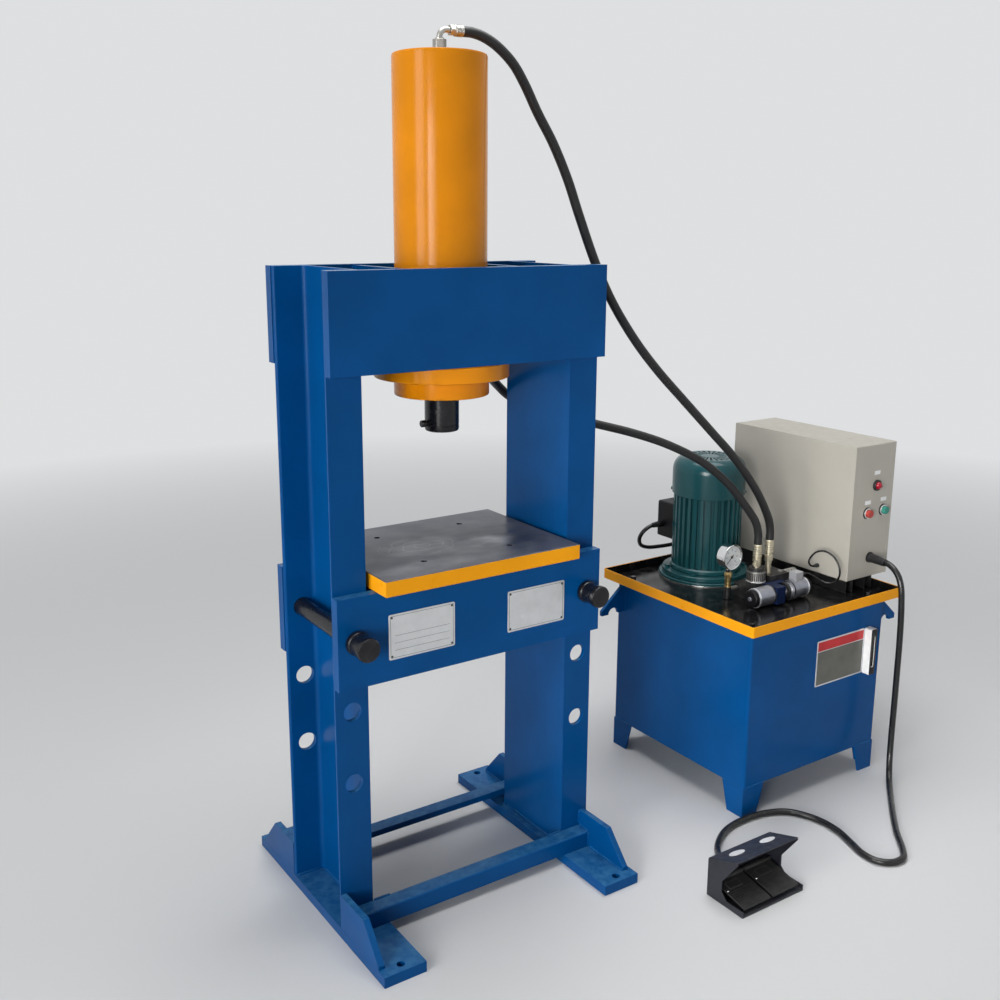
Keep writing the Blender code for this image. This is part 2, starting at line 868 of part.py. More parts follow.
for side, word in ((-1, "left"), (1, "right")):
    column = as_object(
        f"{word}_column", prism(channel_outline(side), 0, frame_height - column_bottom), blue,
        (0, 0, column_bottom), root,
    )
    boolean(column, "DIFFERENCE", pin_holes(f"cut_{word}_column", side, pin_hole_z, root))


def ribbed_beam(name, bottom, height, rib_places, drop):
    """Two long plates on the outsides of the columns with ribs welded between."""
    beam = as_object(
        name,
        prism(rectangle(-plate_length / 2, plate_length / 2, -plate_outside, -plate_inside), 0, height),
        blue, (0, 0, bottom), root,
    )
    rear = prism(rectangle(-plate_length / 2, plate_length / 2, plate_inside, plate_outside), 0, height)
    parts = [tool(f"{name}_rear", rear, root, (0, 0, bottom))]
    for number, place in enumerate(rib_places):
        reach = plate_inside + weld_bite
        outline = rectangle(place - rib_thickness / 2, place + rib_thickness / 2, -reach, reach)
        shape = prism(outline, rib_end_gap, height - drop)
        parts.append(tool(f"{name}_rib_{number + 1}", shape, root, (0, 0, bottom)))
    return boolean(beam, "UNION", parts)


crown = ribbed_beam("crown", crown_bottom, crown_height, (-crown_rib_x, crown_rib_x), rib_drop)
bed = ribbed_beam(
    "bed", bed_bottom, bed_height, (-bed_rib_outer_x, -bed_rib_inner_x, bed_rib_inner_x, bed_rib_outer_x), 0,
)
for side, word in ((-1, "left"), (1, "right")):
    boolean(bed, "DIFFERENCE", pin_holes(f"cut_{word}_bed", side, pin_hole_z[:1], root))

for side, word in ((-1, "left"), (1, "right")):
    front = plate_outside + touch_gap
    profile = [
        (0, front + pin_head_length), (pin_head_radius - pin_chamfer, front + pin_head_length),
        (pin_head_radius, front + pin_head_length - pin_chamfer),
        (pin_head_radius, front + pin_head_length - pin_groove_width),
        (pin_head_radius - pin_groove_depth, front + pin_head_length - pin_groove_width - pin_groove_depth),
        (pin_head_radius - pin_groove_depth, front + pin_groove_width + pin_groove_depth),
        (pin_head_radius, front + pin_groove_width), (pin_head_radius, front + pin_chamfer),
        (pin_head_radius - pin_chamfer, front), (pin_radius, front),
        (pin_radius, -plate_outside - pin_rear_reach + pin_chamfer),
        (pin_radius - pin_chamfer, -plate_outside - pin_rear_reach), (0, -plate_outside - pin_rear_reach),
    ]
    shape = moved(lathe(profile, 24), turn=AXES["-y"])
    as_object(f"{word}_pin", shape, black, (side * pin_x, 0, pin_top_z), root, True)


def table():
    """The table plate with its four tapped holes."""
    half_x = table_length / 2
    half_y = table_width / 2
    loops = []
    for inset, height in (
        (table_edge, 0), (0, table_edge), (0, table_thickness - table_edge), (table_edge, table_thickness),
    ):
        outline = rectangle(-half_x + inset, half_x - inset, -half_y + inset, half_y - inset)
        loops.append([(a, b, height) for a, b in outline])
    plate = as_object("table", stack(loops), machined, (0, 0, table_bottom), root)
    cutters = []
    for number, (x, y) in enumerate(((-1, -1), (1, -1), (1, 1), (-1, 1))):
        shape = rod(tapped_radius, -table_thickness, table_thickness * 2, steps=14)
        place = (x * tapped_x, y * tapped_y, table_bottom)
        cutters.append(tool(f"cut_table_{number + 1}", shape, root, place, True))
    return boolean(plate, "DIFFERENCE", cutters)


table()


def thin_plate(name, width, height, place, corner, look):
    """A thin plate standing against a face that looks to -Y; place is its middle on that face."""
    outline = rectangle(-width / 2, width / 2, -height / 2, height / 2, corner, 3)
    shape = prism(outline, -touch_gap - nameplate_thickness, -touch_gap, "y")
    return as_object(name, shape, look, place, root)


thin_plate(
    "left_nameplate", left_nameplate_width, left_nameplate_height,
    (left_nameplate_x, plate_front, left_nameplate_z), nameplate_corner, plate_metal,
)
thin_plate(
    "right_nameplate", right_nameplate_width, right_nameplate_height,
    (right_nameplate_x, plate_front, right_nameplate_z), nameplate_corner, plate_metal,
)


def gusset_planes(side):
    """Left and right faces of the gussets on one foot."""
    if side < 0:
        low = -foot_x - foot_width / 2
        return low, low + gusset_thickness
    high = foot_x + foot_width / 2 - right_gusset_inset
    return high - gusset_thickness, high


for side, word in ((-1, "left"), (1, "right")):
    outline = rectangle(-foot_width / 2, foot_width / 2, -foot_length / 2, foot_length / 2)
    foot = as_object(f"{word}_foot", prism(outline, 0, foot_thickness), blue, (side * foot_x, 0, 0), root)
    low, high = gusset_planes(side)
    if side < 0:
        low += touch_gap
    gussets = []
    for end, term in ((-1, "front"), (1, "rear")):
        start = half_depth + touch_gap
        outline = [
            (start, foot_thickness - weld_bite), (start, foot_thickness + gusset_height),
            (half_depth + gusset_shelf, foot_thickness + gusset_height),
            (half_depth + gusset_reach, foot_thickness + gusset_toe),
            (half_depth + gusset_reach, foot_thickness - weld_bite),
        ]
        shape = prism([(end * a, b) for a, b in outline], low, high, "x")
        gussets.append(tool(f"{word}_{term}_gusset", shape, root))
    boolean(foot, "UNION", gussets)
    cutters = []
    for end, term in ((-1, "front"), (1, "rear")):
        shape = rod(anchor_radius, -foot_thickness, foot_thickness * 2, steps=16)
        cutters.append(tool(f"cut_{word}_{term}_anchor", shape, root, (side * foot_x, end * anchor_y, 0), True))
    boolean(foot, "DIFFERENCE", cutters)

for end, word in ((-1, "front"), (1, "rear")):
    near = half_depth + tie_stand_off
    far = near + tie_size
    low = foot_thickness + touch_gap
    high = low + tie_size
    outline = [
        (near, high - tie_wall), (far - tie_wall - tie_radius, high - tie_wall),
        (far - tie_wall, high - tie_wall - tie_radius), (far - tie_wall, low), (far, low),
        (far, high - tie_radius), (far - tie_radius, high), (near, high),
    ]
    start = gusset_planes(-1)[1] + touch_gap
    stop = gusset_planes(1)[0] - touch_gap
    as_object(f"{word}_tie", prism([(end * a, b) for a, b in outline], start, stop, "x"), blue, (0, 0, 0), root)

barrel = as_object(
    "cylinder_barrel",
    lathe([
        (0, barrel_top), (barrel_radius - barrel_edge, barrel_top),
        (barrel_radius - barrel_edge * 0.3, barrel_top - barrel_edge * 0.3),
        (barrel_radius, barrel_top - barrel_edge), (barrel_radius, mount_bottom),
        (barrel_bore, mount_bottom), (barrel_bore, cap_underside), (0, cap_underside),
    ], 36),
    orange, (0, 0, 0), root, True,
)
boolean(barrel, "DIFFERENCE", [
    tool("cut_top_port", rod(port_radius, cap_underside - port_depth, barrel_top + port_depth, steps=16), root, smooth=True),
])
as_object(
    "mounting_ring", ring(mount_radius, barrel_radius + touch_gap, mount_bottom, mount_top, mount_edge, 36),
    orange, (0, 0, 0), root, True,
)
rod_bore = rod_radius + running_gap
spigot_radius = barrel_bore - touch_gap
gland = as_object(
    "gland_ring",
    lathe([
        (rod_bore, gland_top + gland_spigot), (spigot_radius, gland_top + gland_spigot), (spigot_radius, gland_top),
        (gland_radius - gland_edge, gland_top), (gland_radius, gland_top - gland_edge),
        (gland_radius, gland_bottom + gland_edge), (gland_radius - gland_edge, gland_bottom),
        (rod_bore, gland_bottom),
    ], 36, closed=True),
    orange, (0, 0, 0), root, True,
)
side_turn = Matrix.Rotation(math.radians(side_port_angle), 4, "Z") @ AXES["x"]
side_cut = moved(rod(port_radius, gland_radius - port_depth, gland_radius + port_depth, steps=16), turn=side_turn)
boolean(gland, "DIFFERENCE", [tool("cut_side_port", side_cut, root, (0, 0, side_port_z), True)])

piston_top = cap_underside - piston_headroom
piston_radius = barrel_bore - running_gap
tail_bottom = head_bottom + head_floor + touch_gap
ram_at = (0, 0, head_top)
as_object(
    "ram",
    moved(lathe([
        (0, piston_top), (piston_radius, piston_top), (piston_radius, piston_top - piston_height),
        (rod_radius, piston_top - piston_height), (rod_radius, head_top + touch_gap),
        (rod_tail_radius, head_top + touch_gap), (rod_tail_radius, tail_bottom), (0, tail_bottom),
    ], 36), (0, 0, -head_top)),
    chrome, ram_at, root, True,
)
socket_radius = rod_tail_radius + touch_gap
ram_head = as_object(
    "ram_head",
    moved(lathe([
        (socket_radius, head_top), (head_radius - table_edge, head_top), (head_radius, head_top - table_edge),
        (head_radius, head_bottom + head_edge), (head_radius - head_edge * 0.3, head_bottom + head_edge * 0.3),
        (head_radius - head_edge, head_bottom), (0, head_bottom), (0, head_bottom + head_floor),
        (socket_radius, head_bottom + head_floor),
    ], 36, closed=True), (0, 0, -head_top)),
    black, ram_at, root, True,
)
screw_hole = rod(set_screw_radius + running_gap, 0, head_radius * 2, steps=14)
boolean(ram_head, "DIFFERENCE", [
    tool("cut_set_screw", moved(screw_hole, turn=AXES["-x"]), root, (0, 0, set_screw_z), True),
])
screw_start = rod_tail_radius + touch_gap
screw_face = head_radius + touch_gap
screw = lathe([
    (0, screw_face + set_screw_reach), (set_screw_head - set_screw_collar / 4, screw_face + set_screw_reach),
    (set_screw_head, screw_face + set_screw_reach - set_screw_collar / 4),
    (set_screw_head, screw_face + set_screw_collar), (set_screw_radius * 1.2, screw_face + set_screw_collar / 2),
    (set_screw_radius * 1.2, screw_face), (set_screw_radius, screw_face), (set_screw_radius, screw_start),
    (0, screw_start),
], 14)
as_object("set_screw", moved(screw, turn=AXES["-x"]), black, (0, 0, set_screw_z), root, True)

bend = [(0, 0, barrel_top + top_hex_height - weld_bite)]
bend += [
    (top_bend_radius + a, 0, top_pipe_z - top_bend_radius + b)
    for a, b in arc(0, 0, top_bend_radius, 180, 90, 6)
]
bend.append((top_nut_start + weld_bite, 0, top_pipe_z))
elbow = as_object(
    "top_elbow", prism(hexagon(top_hex_flats), barrel_top + touch_gap, barrel_top + top_hex_height), plated,
    (0, 0, 0), root,
)
nut_end = top_nut_start + top_nut_length
ferrule_end = nut_end + top_ferrule_length
boolean(elbow, "UNION", [
    tool("top_spigot", rod(port_radius - touch_gap, barrel_top - port_depth, barrel_top + weld_bite * 2), root, smooth=True),
    tool("top_bend", swept(bend, top_pipe_radius, 14), root, smooth=True),
    tool("top_nut", moved(prism(hexagon(top_nut_flats), top_nut_start, nut_end), turn=AXES["x"]), root, (0, 0, top_pipe_z)),
    tool(
        "top_ferrule",
        moved(rod(ferrule_radius, nut_end - weld_bite, ferrule_end, ferrule_band), turn=AXES["x"]),
        root, (0, 0, top_pipe_z), True,
    ),
])

side_start = gland_radius + touch_gap
side_hex_end = side_start + side_hex_length
side_end = side_hex_end + side_ferrule_length
fitting = as_object(
    "side_fitting", moved(prism(hexagon(side_hex_flats), side_start, side_hex_end), turn=side_turn), plated,
    (0, 0, side_port_z), root,
)
boolean(fitting, "UNION", [
    tool(
        "side_spigot", moved(rod(port_radius - touch_gap, side_start - port_depth + weld_bite, side_start + weld_bite),
                             turn=side_turn), root, (0, 0, side_port_z), True,
    ),
    tool(
        "side_ferrule", moved(rod(ferrule_radius, side_hex_end - weld_bite, side_end, ferrule_band), turn=side_turn),
        root, (0, 0, side_port_z), True,
    ),
])


def tank_shell():
    """Open box with rounded corners, four folded legs, two lifting lugs and a drain plug."""
    rows = []
    for inset, height in (
        (tank_wall, tank_bottom + tank_wall), (tank_wall, tank_top), (0, tank_top), (0, tank_bottom),
    ):
        outline = rectangle(
            tank_left + inset, tank_right - inset, tank_front + inset, tank_rear - inset, tank_corner - inset, 4,
        )
        rows.append([(a, b, height) for a, b in outline])
    shell = as_object("tank", stack(rows), blue, (0, 0, 0), root)
    legs = []
    corners = ((tank_left, tank_front, 1, 1), (tank_right, tank_front, -1, 1),
               (tank_right, tank_rear, -1, -1), (tank_left, tank_rear, 1, -1))
    for number, (x, y, sign_x, sign_y) in enumerate(corners):
        rows = []
        for arm, height in ((leg_foot, 0), (leg_top, tank_bottom + weld_bite)):
            outline = [(0, 0), (arm, 0), (arm, leg_wall), (leg_wall, leg_wall), (leg_wall, arm), (0, arm)]
            rows.append([(x + sign_x * a, y + sign_y * b, height) for a, b in outline])
        legs.append(tool(f"leg_{number + 1}", stack(rows), root))
    lugs = []
    for side, face, y, word in ((-1, tank_left, lug_y, "left"), (1, tank_right, tank_front + tank_rear - lug_y, "right")):
        notch = arc(lug_notch_out, lug_tip_z, lug_notch_radius, 0, 180, 8)
        outline = [(-weld_bite, lug_top), (lug_thickness, lug_top), (lug_reach, lug_tip_z + lug_tip_height),
                   (lug_reach, lug_tip_z)]
        outline += notch + [(-weld_bite, lug_tip_z)]
        shape = prism([(face + side * a, b) for a, b in outline], y - lug_thickness / 2, y + lug_thickness / 2, "y")
        lugs.append(tool(f"{word}_lug", shape, root))
    plug = moved(rod(drain_radius, -weld_bite, drain_length, ferrule_band, 6), turn=AXES["y"])
    drain = tool("drain_plug", plug, root, ((tank_left + tank_right) / 2, tank_rear, drain_z))
    return boolean(shell, "UNION", legs + lugs + [drain])


tank_shell()


def tray():
    """Folded tray with a hole for the shaft and a bolt head in each corner."""
    rows = []
    for inset, height in ((tray_sheet, tray_floor), (tray_sheet, tray_lip), (0, tray_lip), (0, tray_bottom)):
        outline = rectangle(
            tray_left + inset, tray_right - inset, tray_front + inset, tray_rear - inset, tray_corner - inset, 3,
        )
        rows.append([(a, b, height) for a, b in outline])
    pan = as_object("tray", stack(rows), orange, (0, 0, 0), root)
    bolts = []
    places = (
        (tray_left + tray_bolt_inset, tray_front + tray_bolt_inset), (tray_left + tray_bolt_inset, tray_rear - tray_bolt_inset),
        (tray_right - tray_bolt_inset, tray_front + tray_bolt_inset), (tray_right - tray_bolt_inset, tray_rear - tray_bolt_inset),
    )
    for number, (x, y) in enumerate(places):
        shape = rod(tray_bolt_radius, -weld_bite, tray_bolt_height, steps=6)
        bolts.append(tool(f"tray_bolt_{number + 1}", shape, root, (x, y, tray_floor)))
    boolean(pan, "UNION", bolts)
    hole = rod(shaft_hole_radius, tray_bottom - tray_height, tray_lip, steps=32)
    return boolean(pan, "DIFFERENCE", [tool("cut_tray", hole, root, (motor_x, motor_y, 0), True)])


tray()

level_front = tank_front - touch_gap - level_depth
outline = rectangle(level_x - level_width / 2, level_x + level_width / 2, level_bottom, level_top, nameplate_corner, 3)
level = as_object("level_gauge", prism(outline, level_front, tank_front - touch_gap, "y"), white_plastic, (0, 0, 0), root)
window = rectangle(
    level_x - level_window_width / 2, level_x + level_window_width / 2,
    level_bottom + level_window_inset, level_top - level_window_inset, level_window_depth, 3,
)
boolean(level, "DIFFERENCE", [
    tool("cut_level", prism(window, level_front - level_window_depth, level_front + level_window_depth, "y"), root),
])
thin_plate("label_plate", label_width, label_height, (label_x, tank_front, label_z), nameplate_corner, plate_metal)

motor = empty("motor_axis", (motor_x, motor_y, 0), root)
as_object(
    "motor_ring", ring(ring_radius, shaft_hole_radius, ring_bottom, ring_bottom + ring_height, ferrule_band),
    black, (0, 0, 0), motor, True,
)


def motor_body():
    """Flanged body with straight fins and a bore for the shaft."""
    outline = []
    for index in range(fins):
        for share, size in ((0, fin_radius), (1 - fin_root_share, fin_radius), (1 - fin_root_share, fin_radius - fin_depth),
                            (1, fin_radius - fin_depth)):
            turn = 2 * math.pi * (index + share) / fins
            outline.append((size * math.cos(turn), size * math.sin(turn)))
    core = as_object("motor_body", prism(outline, flange_top - weld_bite, body_top), teal, (0, 0, 0), motor)
    seat_radius = cowl_radius - cowl_wall - touch_gap
    parts = [
        tool("motor_flange", rod(flange_radius, flange_bottom, flange_top, ferrule_band, 40), motor, smooth=True),
        tool("end_shield", rod(shield_radius, flange_top - weld_bite, flange_top + shield_height, shield_edge, 40), motor,
             smooth=True),
        tool("cowl_seat", rod(seat_radius, cowl_bottom - cowl_seat, body_top + weld_bite, ferrule_band, 40), motor, smooth=True),
    ]
    for index in range(flange_bolts):
        turn = 2 * math.pi * (index + 0.5) / flange_bolts
        shape = rod(flange_bolt_radius, flange_top - weld_bite, flange_top + flange_bolt_height, steps=6)
        place = (flange_bolt_circle * math.cos(turn), flange_bolt_circle * math.sin(turn), 0)
        parts.append(tool(f"flange_bolt_{index + 1}", shape, motor, place))
    boolean(core, "UNION", parts)
    bore = rod(shaft_bore, flange_bottom - shaft_bore, body_top + shaft_bore * 2, steps=16)
    return boolean(core, "DIFFERENCE", [tool("cut_motor", bore, motor, smooth=True)])


motor_body()


def fan_cowl():
    """Pressed cowl over the fan with a ring of slots in its flat top."""
    shoulder = cowl_radius - cowl_flat_radius
    rise = cowl_top - cowl_shoulder_z
    outer = [(cowl_flat_radius + shoulder * math.sin(t), cowl_shoulder_z + rise * math.cos(t))
             for t in [math.pi / 2 * step / 5 for step in range(6)]]
    inner = [(cowl_flat_radius + (shoulder - cowl_wall) * math.sin(t),
              cowl_shoulder_z + (rise - cowl_wall) * math.cos(t))
             for t in [math.pi / 2 * step / 5 for step in range(5, -1, -1)]]
    profile = [(0, cowl_top)] + outer + [(cowl_radius, cowl_bottom), (cowl_radius - cowl_wall, cowl_bottom)]
    profile += inner + [(0, cowl_top - cowl_wall)]
    cowl = as_object("fan_cowl", lathe(profile, 40), teal, (0, 0, 0), motor, True)
    slots = []
    for index in range(cowl_slots):
        turn = Matrix.Rotation(2 * math.pi * index / cowl_slots, 4, "Z")
        outline = rectangle(cowl_slot_inner, cowl_slot_outer, -cowl_slot_width / 2, cowl_slot_width / 2)
        shape = moved(prism(outline, cowl_top - cowl_wall * 3, cowl_top + cowl_wall), turn=turn)
        slots.append(tool(f"cut_cowl_{index + 1}", shape, motor))
    return boolean(cowl, "DIFFERENCE", slots)


fan_cowl()

rotor = as_object(
    "rotor",
    lathe([
        (0, fan_bottom + fan_height), (fan_hub_radius, fan_bottom + fan_height), (fan_hub_radius, fan_bottom),
        (shaft_radius, fan_bottom), (shaft_radius, shaft_bottom), (0, shaft_bottom),
    ], 16),
    dark_plastic, (0, 0, 0), motor, True,
)
blades = [tool("fan_disc", ring(fan_radius, fan_hub_radius - weld_bite, fan_bottom, fan_bottom + fan_blade), motor)]
for index in range(fan_blades):
    turn = Matrix.Rotation(2 * math.pi * index / fan_blades, 4, "Z")
    outline = rectangle(fan_hub_radius - weld_bite, fan_radius - fan_blade, -fan_blade / 2, fan_blade / 2)
    shape = moved(prism(outline, fan_bottom + fan_blade / 2, fan_bottom + fan_height - fan_blade), turn=turn)
    blades.append(tool(f"fan_blade_{index + 1}", shape, motor))
boolean(rotor, "UNION", blades)

pump_top = tray_bottom - touch_gap
pump_low = pump_top - pump_flange_height - pump_body_height
as_object(
    "pump",
    lathe([
        (0, pump_shaft_top), (pump_shaft_radius, pump_shaft_top), (pump_shaft_radius, pump_top),
        (pump_flange_radius, pump_top), (pump_flange_radius, pump_top - pump_flange_height),
        (pump_body_radius, pump_top - pump_flange_height), (pump_body_radius, pump_low),
        (pump_pipe_radius, pump_low), (pump_pipe_radius, pump_low - pump_pipe_length),
        (0, pump_low - pump_pipe_length),
    ], 20),
    machined, (0, 0, 0), motor, True,
)

outline = rectangle(box_left, box_right, box_bottom, box_top, box_corner, 3)
terminal = as_object("terminal_box", prism(outline, box_seat_y, box_rear, "y"), dark_plastic, (0, 0, 0), root)
saddle = rod(fin_radius + touch_gap, box_bottom - box_corner, box_top + box_corner, steps=64)
boolean(terminal, "DIFFERENCE", [tool("cut_terminal", saddle, root, (motor_x, motor_y, 0), True)])
boolean(terminal, "UNION", [
    tool(
        "box_gland", moved(rod(box_gland_radius, -weld_bite, box_gland_length, ferrule_band, 16), turn=AXES["-x"]),
        root, (box_left, box_gland_y, box_gland_z), True,
    ),
])

outline = [
    (block_left, block_bottom), (block_right, block_bottom), (block_right, block_high_top - block_edge),
    (block_right - block_edge, block_high_top), (block_step_x, block_high_top), (block_step_x, block_low_top),
    (block_left + block_edge, block_low_top), (block_left, block_low_top - block_edge),
]
block = as_object("valve_block", prism(outline, block_front, block_rear, "y"), black, (0, 0, 0), root)
block_cuts = []
for name, x, top in (("front", front_hose_x, block_low_top), ("rear", rear_hose_x, block_high_top)):
    shape = rod(stem_radius + touch_gap, top - socket_depth - touch_gap, top + socket_depth, steps=16)
    block_cuts.append(tool(f"cut_{name}_socket", shape, root, (x, hose_y, 0), True))
shape = moved(rod(knob_spigot_radius + running_gap, -knob_spigot_length - touch_gap, knob_spigot_length, steps=12), turn=AXES["x"])
block_cuts.append(tool("cut_knob_socket", shape, root, (block_right, hose_y, knob_z), True))
boolean(block, "DIFFERENCE", block_cuts)

valve_rear = block_front - touch_gap
valve_front = valve_rear - valve_depth
outline = rectangle(
    valve_x - valve_length / 2, valve_x + valve_length / 2,
    valve_z - valve_height / 2, valve_z + valve_height / 2, valve_edge, 3,
)
as_object("valve_body", prism(outline, valve_front, valve_rear, "y"), blue, (0, 0, 0), root)
coil_y = (valve_front + valve_rear) / 2


def solenoid(name, side):
    """Coil on one end of the valve with its end nut and hand pin; the right one has the cable plug."""
    start = valve_length / 2 + touch_gap
    neck = start + solenoid_length
    tip = neck + solenoid_neck_length
    profile = [
        (0, tip + solenoid_pin_length), (solenoid_pin_radius, tip + solenoid_pin_length), (solenoid_pin_radius, tip),
        (solenoid_neck_radius, tip), (solenoid_neck_radius, neck), (solenoid_radius - ferrule_band, neck),
        (solenoid_radius, neck - ferrule_band), (solenoid_radius, start), (0, start),
    ]
    coil = moved(lathe(profile, 24), turn=AXES["x" if side > 0 else "-x"])
    made = as_object(name, coil, grey_plastic, (valve_x, coil_y, valve_z), root, True)
    middle = start + solenoid_length / 2
    outline = rectangle(
        side * middle - plug_length / 2, side * middle + plug_length / 2, -plug_width / 2, plug_width / 2, plug_corner, 2,
    )
    low = solenoid_radius - plug_sink
    if side < 0:
        return made
    plug = tool(f"{name}_plug", prism(outline, low, low + plug_height), root, (valve_x, coil_y, valve_z))
    tail = moved(rod(plug_tail_radius, -weld_bite, plug_tail_length, steps=10), turn=AXES["x"])
    place = (valve_x + middle + plug_length / 2, coil_y, valve_z + low + plug_height / 2)
    return boolean(made, "UNION", [plug, tool(f"{name}_tail", tail, root, place, True)])


solenoid("left_solenoid", -1)
solenoid("right_solenoid", 1)
plug_tail_tip = Vector((
    valve_x + valve_length / 2 + touch_gap + solenoid_length / 2 + plug_length / 2 + plug_tail_length,
    coil_y, valve_z + solenoid_radius - plug_sink + plug_height / 2,
))


def hose_end(name, x, block_top, top):
    """Threaded stem in the block, hexagon and crimped ferrule in one line along Z."""
    hex_top = top - ferrule_height
    hex_low = hex_top - end_hex_height
    profile = [
        (0, top), (ferrule_radius - ferrule_band, top), (ferrule_radius, top - ferrule_band),
        (ferrule_radius, hex_top - weld_bite), (stem_radius, hex_top - weld_bite),
        (stem_radius, block_top - socket_depth), (0, block_top - socket_depth),
    ]
    made = as_object(name, lathe(profile, 20), plated, (x, hose_y, 0), root, True)
    nut = tool(f"{name}_hexagon", prism(hexagon(end_hex_flats), hex_low, hex_top), root, (x, hose_y, 0))
    return boolean(made, "UNION", [nut])


hose_end("front_hose_end", front_hose_x, block_low_top, front_ferrule_top)
hose_end("rear_hose_end", rear_hose_x, block_high_top, rear_ferrule_top)

sleeve_low = block_low_top + touch_gap
sleeve_high = sleeve_low + sleeve_height
sleeve = as_object(
    "throttle_sleeve",
    ribbed(sleeve_radius, sleeve_rib_depth, sleeve_ribs, 0, sleeve_height - sleeve_neck, ferrule_band),
    black, (front_hose_x, hose_y, sleeve_low), root,
)
boolean(sleeve, "UNION", [
    tool(
        "sleeve_neck", rod(sleeve_neck_radius, sleeve_height - sleeve_neck - weld_bite, sleeve_height, weld_bite, 20),
        root, (front_hose_x, hose_y, sleeve_low), True,
    ),
])
boolean(sleeve, "DIFFERENCE", [
    tool(
        "cut_sleeve", rod(stem_radius + running_gap, -sleeve_neck, sleeve_height + sleeve_neck, steps=16),
        root, (front_hose_x, hose_y, sleeve_low), True,
    ),
])

knob = as_object(
    "relief_knob",
    moved(ribbed(knob_radius, knob_rib_depth, knob_ribs, touch_gap, knob_length, ferrule_band), turn=AXES["x"]),
    machined, (block_right, hose_y, knob_z), root,
)
shape = moved(rod(knob_spigot_radius, -knob_spigot_length, touch_gap + weld_bite, steps=12), turn=AXES["x"])
boolean(knob, "UNION", [tool("knob_spigot", shape, root, (block_right, hose_y, knob_z), True)])

pipe = as_object(
    "gauge_pipe",
    lathe([
        (0, gauge_collar_top), (gauge_collar_radius, gauge_collar_top),
        (gauge_collar_radius, gauge_collar_top - gauge_collar_height),
        (gauge_pipe_radius, gauge_collar_top - gauge_collar_height),
        (gauge_pipe_radius, gauge_branch_z + gauge_collar_radius),
        (gauge_collar_radius, gauge_branch_z + gauge_collar_radius),
        (gauge_collar_radius, gauge_pipe_bottom), (0, gauge_pipe_bottom),
    ], 16),
    brass, (gauge_x, gauge_y, 0), root, True,
)
branch = block_left - touch_gap - gauge_x
boolean(pipe, "UNION", [
    tool(
        "gauge_branch", moved(rod(gauge_pipe_radius, 0, branch, steps=12), turn=AXES["x"]),
        root, (gauge_x, gauge_y, gauge_branch_z), True,
    ),
])
gauge_front = gauge_depth / 2
case = as_object(
    "gauge_case",
    moved(lathe([
        (gauge_radius - gauge_rim, gauge_front), (gauge_radius, gauge_front), (gauge_radius, -gauge_front + gauge_rim),
        (gauge_radius - gauge_rim, -gauge_front), (0, -gauge_front), (0, gauge_front - gauge_dial_depth),
        (gauge_radius - gauge_rim, gauge_front - gauge_dial_depth),
    ], 32, closed=True), turn=AXES["-y"]),
    plated, (gauge_x, gauge_y, gauge_z), root, True,
)
stem_low = gauge_collar_top + touch_gap - gauge_z
dial_face = -gauge_front + gauge_dial_depth
post_tip = gauge_front - gauge_dial_depth + needle_thickness * 2.5
boolean(case, "UNION", [
    tool(
        "gauge_stem", rod(gauge_collar_radius * 0.8, stem_low, -gauge_radius + gauge_rim, steps=6),
        root, (gauge_x, gauge_y, gauge_z),
    ),
    tool(
        "gauge_post", moved(rod(gauge_post_radius, gauge_front - gauge_dial_depth - weld_bite, post_tip, steps=12), turn=AXES["-y"]),
        root, (gauge_x, gauge_y, gauge_z), True,
    ),
])
needle_bore = gauge_post_radius + running_gap
lift = gauge_front - gauge_dial_depth + touch_gap
needle = as_object(
    "gauge_needle",
    moved(prism([
        (-needle_width / 2, -needle_tail), (needle_width / 2, -needle_tail), (needle_width / 4, needle_length),
        (-needle_width / 4, needle_length),
    ], lift + needle_thickness * 0.3, lift + needle_thickness * 1.3), turn=AXES["-y"] @ Matrix.Rotation(math.radians(needle_turn), 4, "Z")),
    ink, (gauge_x, gauge_y, gauge_z), root,
)
boolean(needle, "UNION", [
    tool(
        "needle_hub", moved(rod(needle_hub_radius, lift, lift + needle_thickness * 1.6, steps=12), turn=AXES["-y"]),
        root, (gauge_x, gauge_y, gauge_z), True,
    ),
])
boolean(needle, "DIFFERENCE", [
    tool(
        "cut_needle", moved(rod(needle_bore, lift - needle_thickness, lift + needle_thickness * 3, steps=10), turn=AXES["-y"]),
        root, (gauge_x, gauge_y, gauge_z), True,
    ),
])


def side_loops(levels):
    """Rounded loops across X for a box that opens to +X: inset and place of each."""
    loops = []
    for inset, x in levels:
        outline = rectangle(
            cabinet_front + inset, cabinet_rear - inset, cabinet_bottom + inset, cabinet_top - inset,
            max(cabinet_corner - inset, touch_gap), 3,
        )
        loops.append([(x, a, b) for a, b in outline])
    return loops


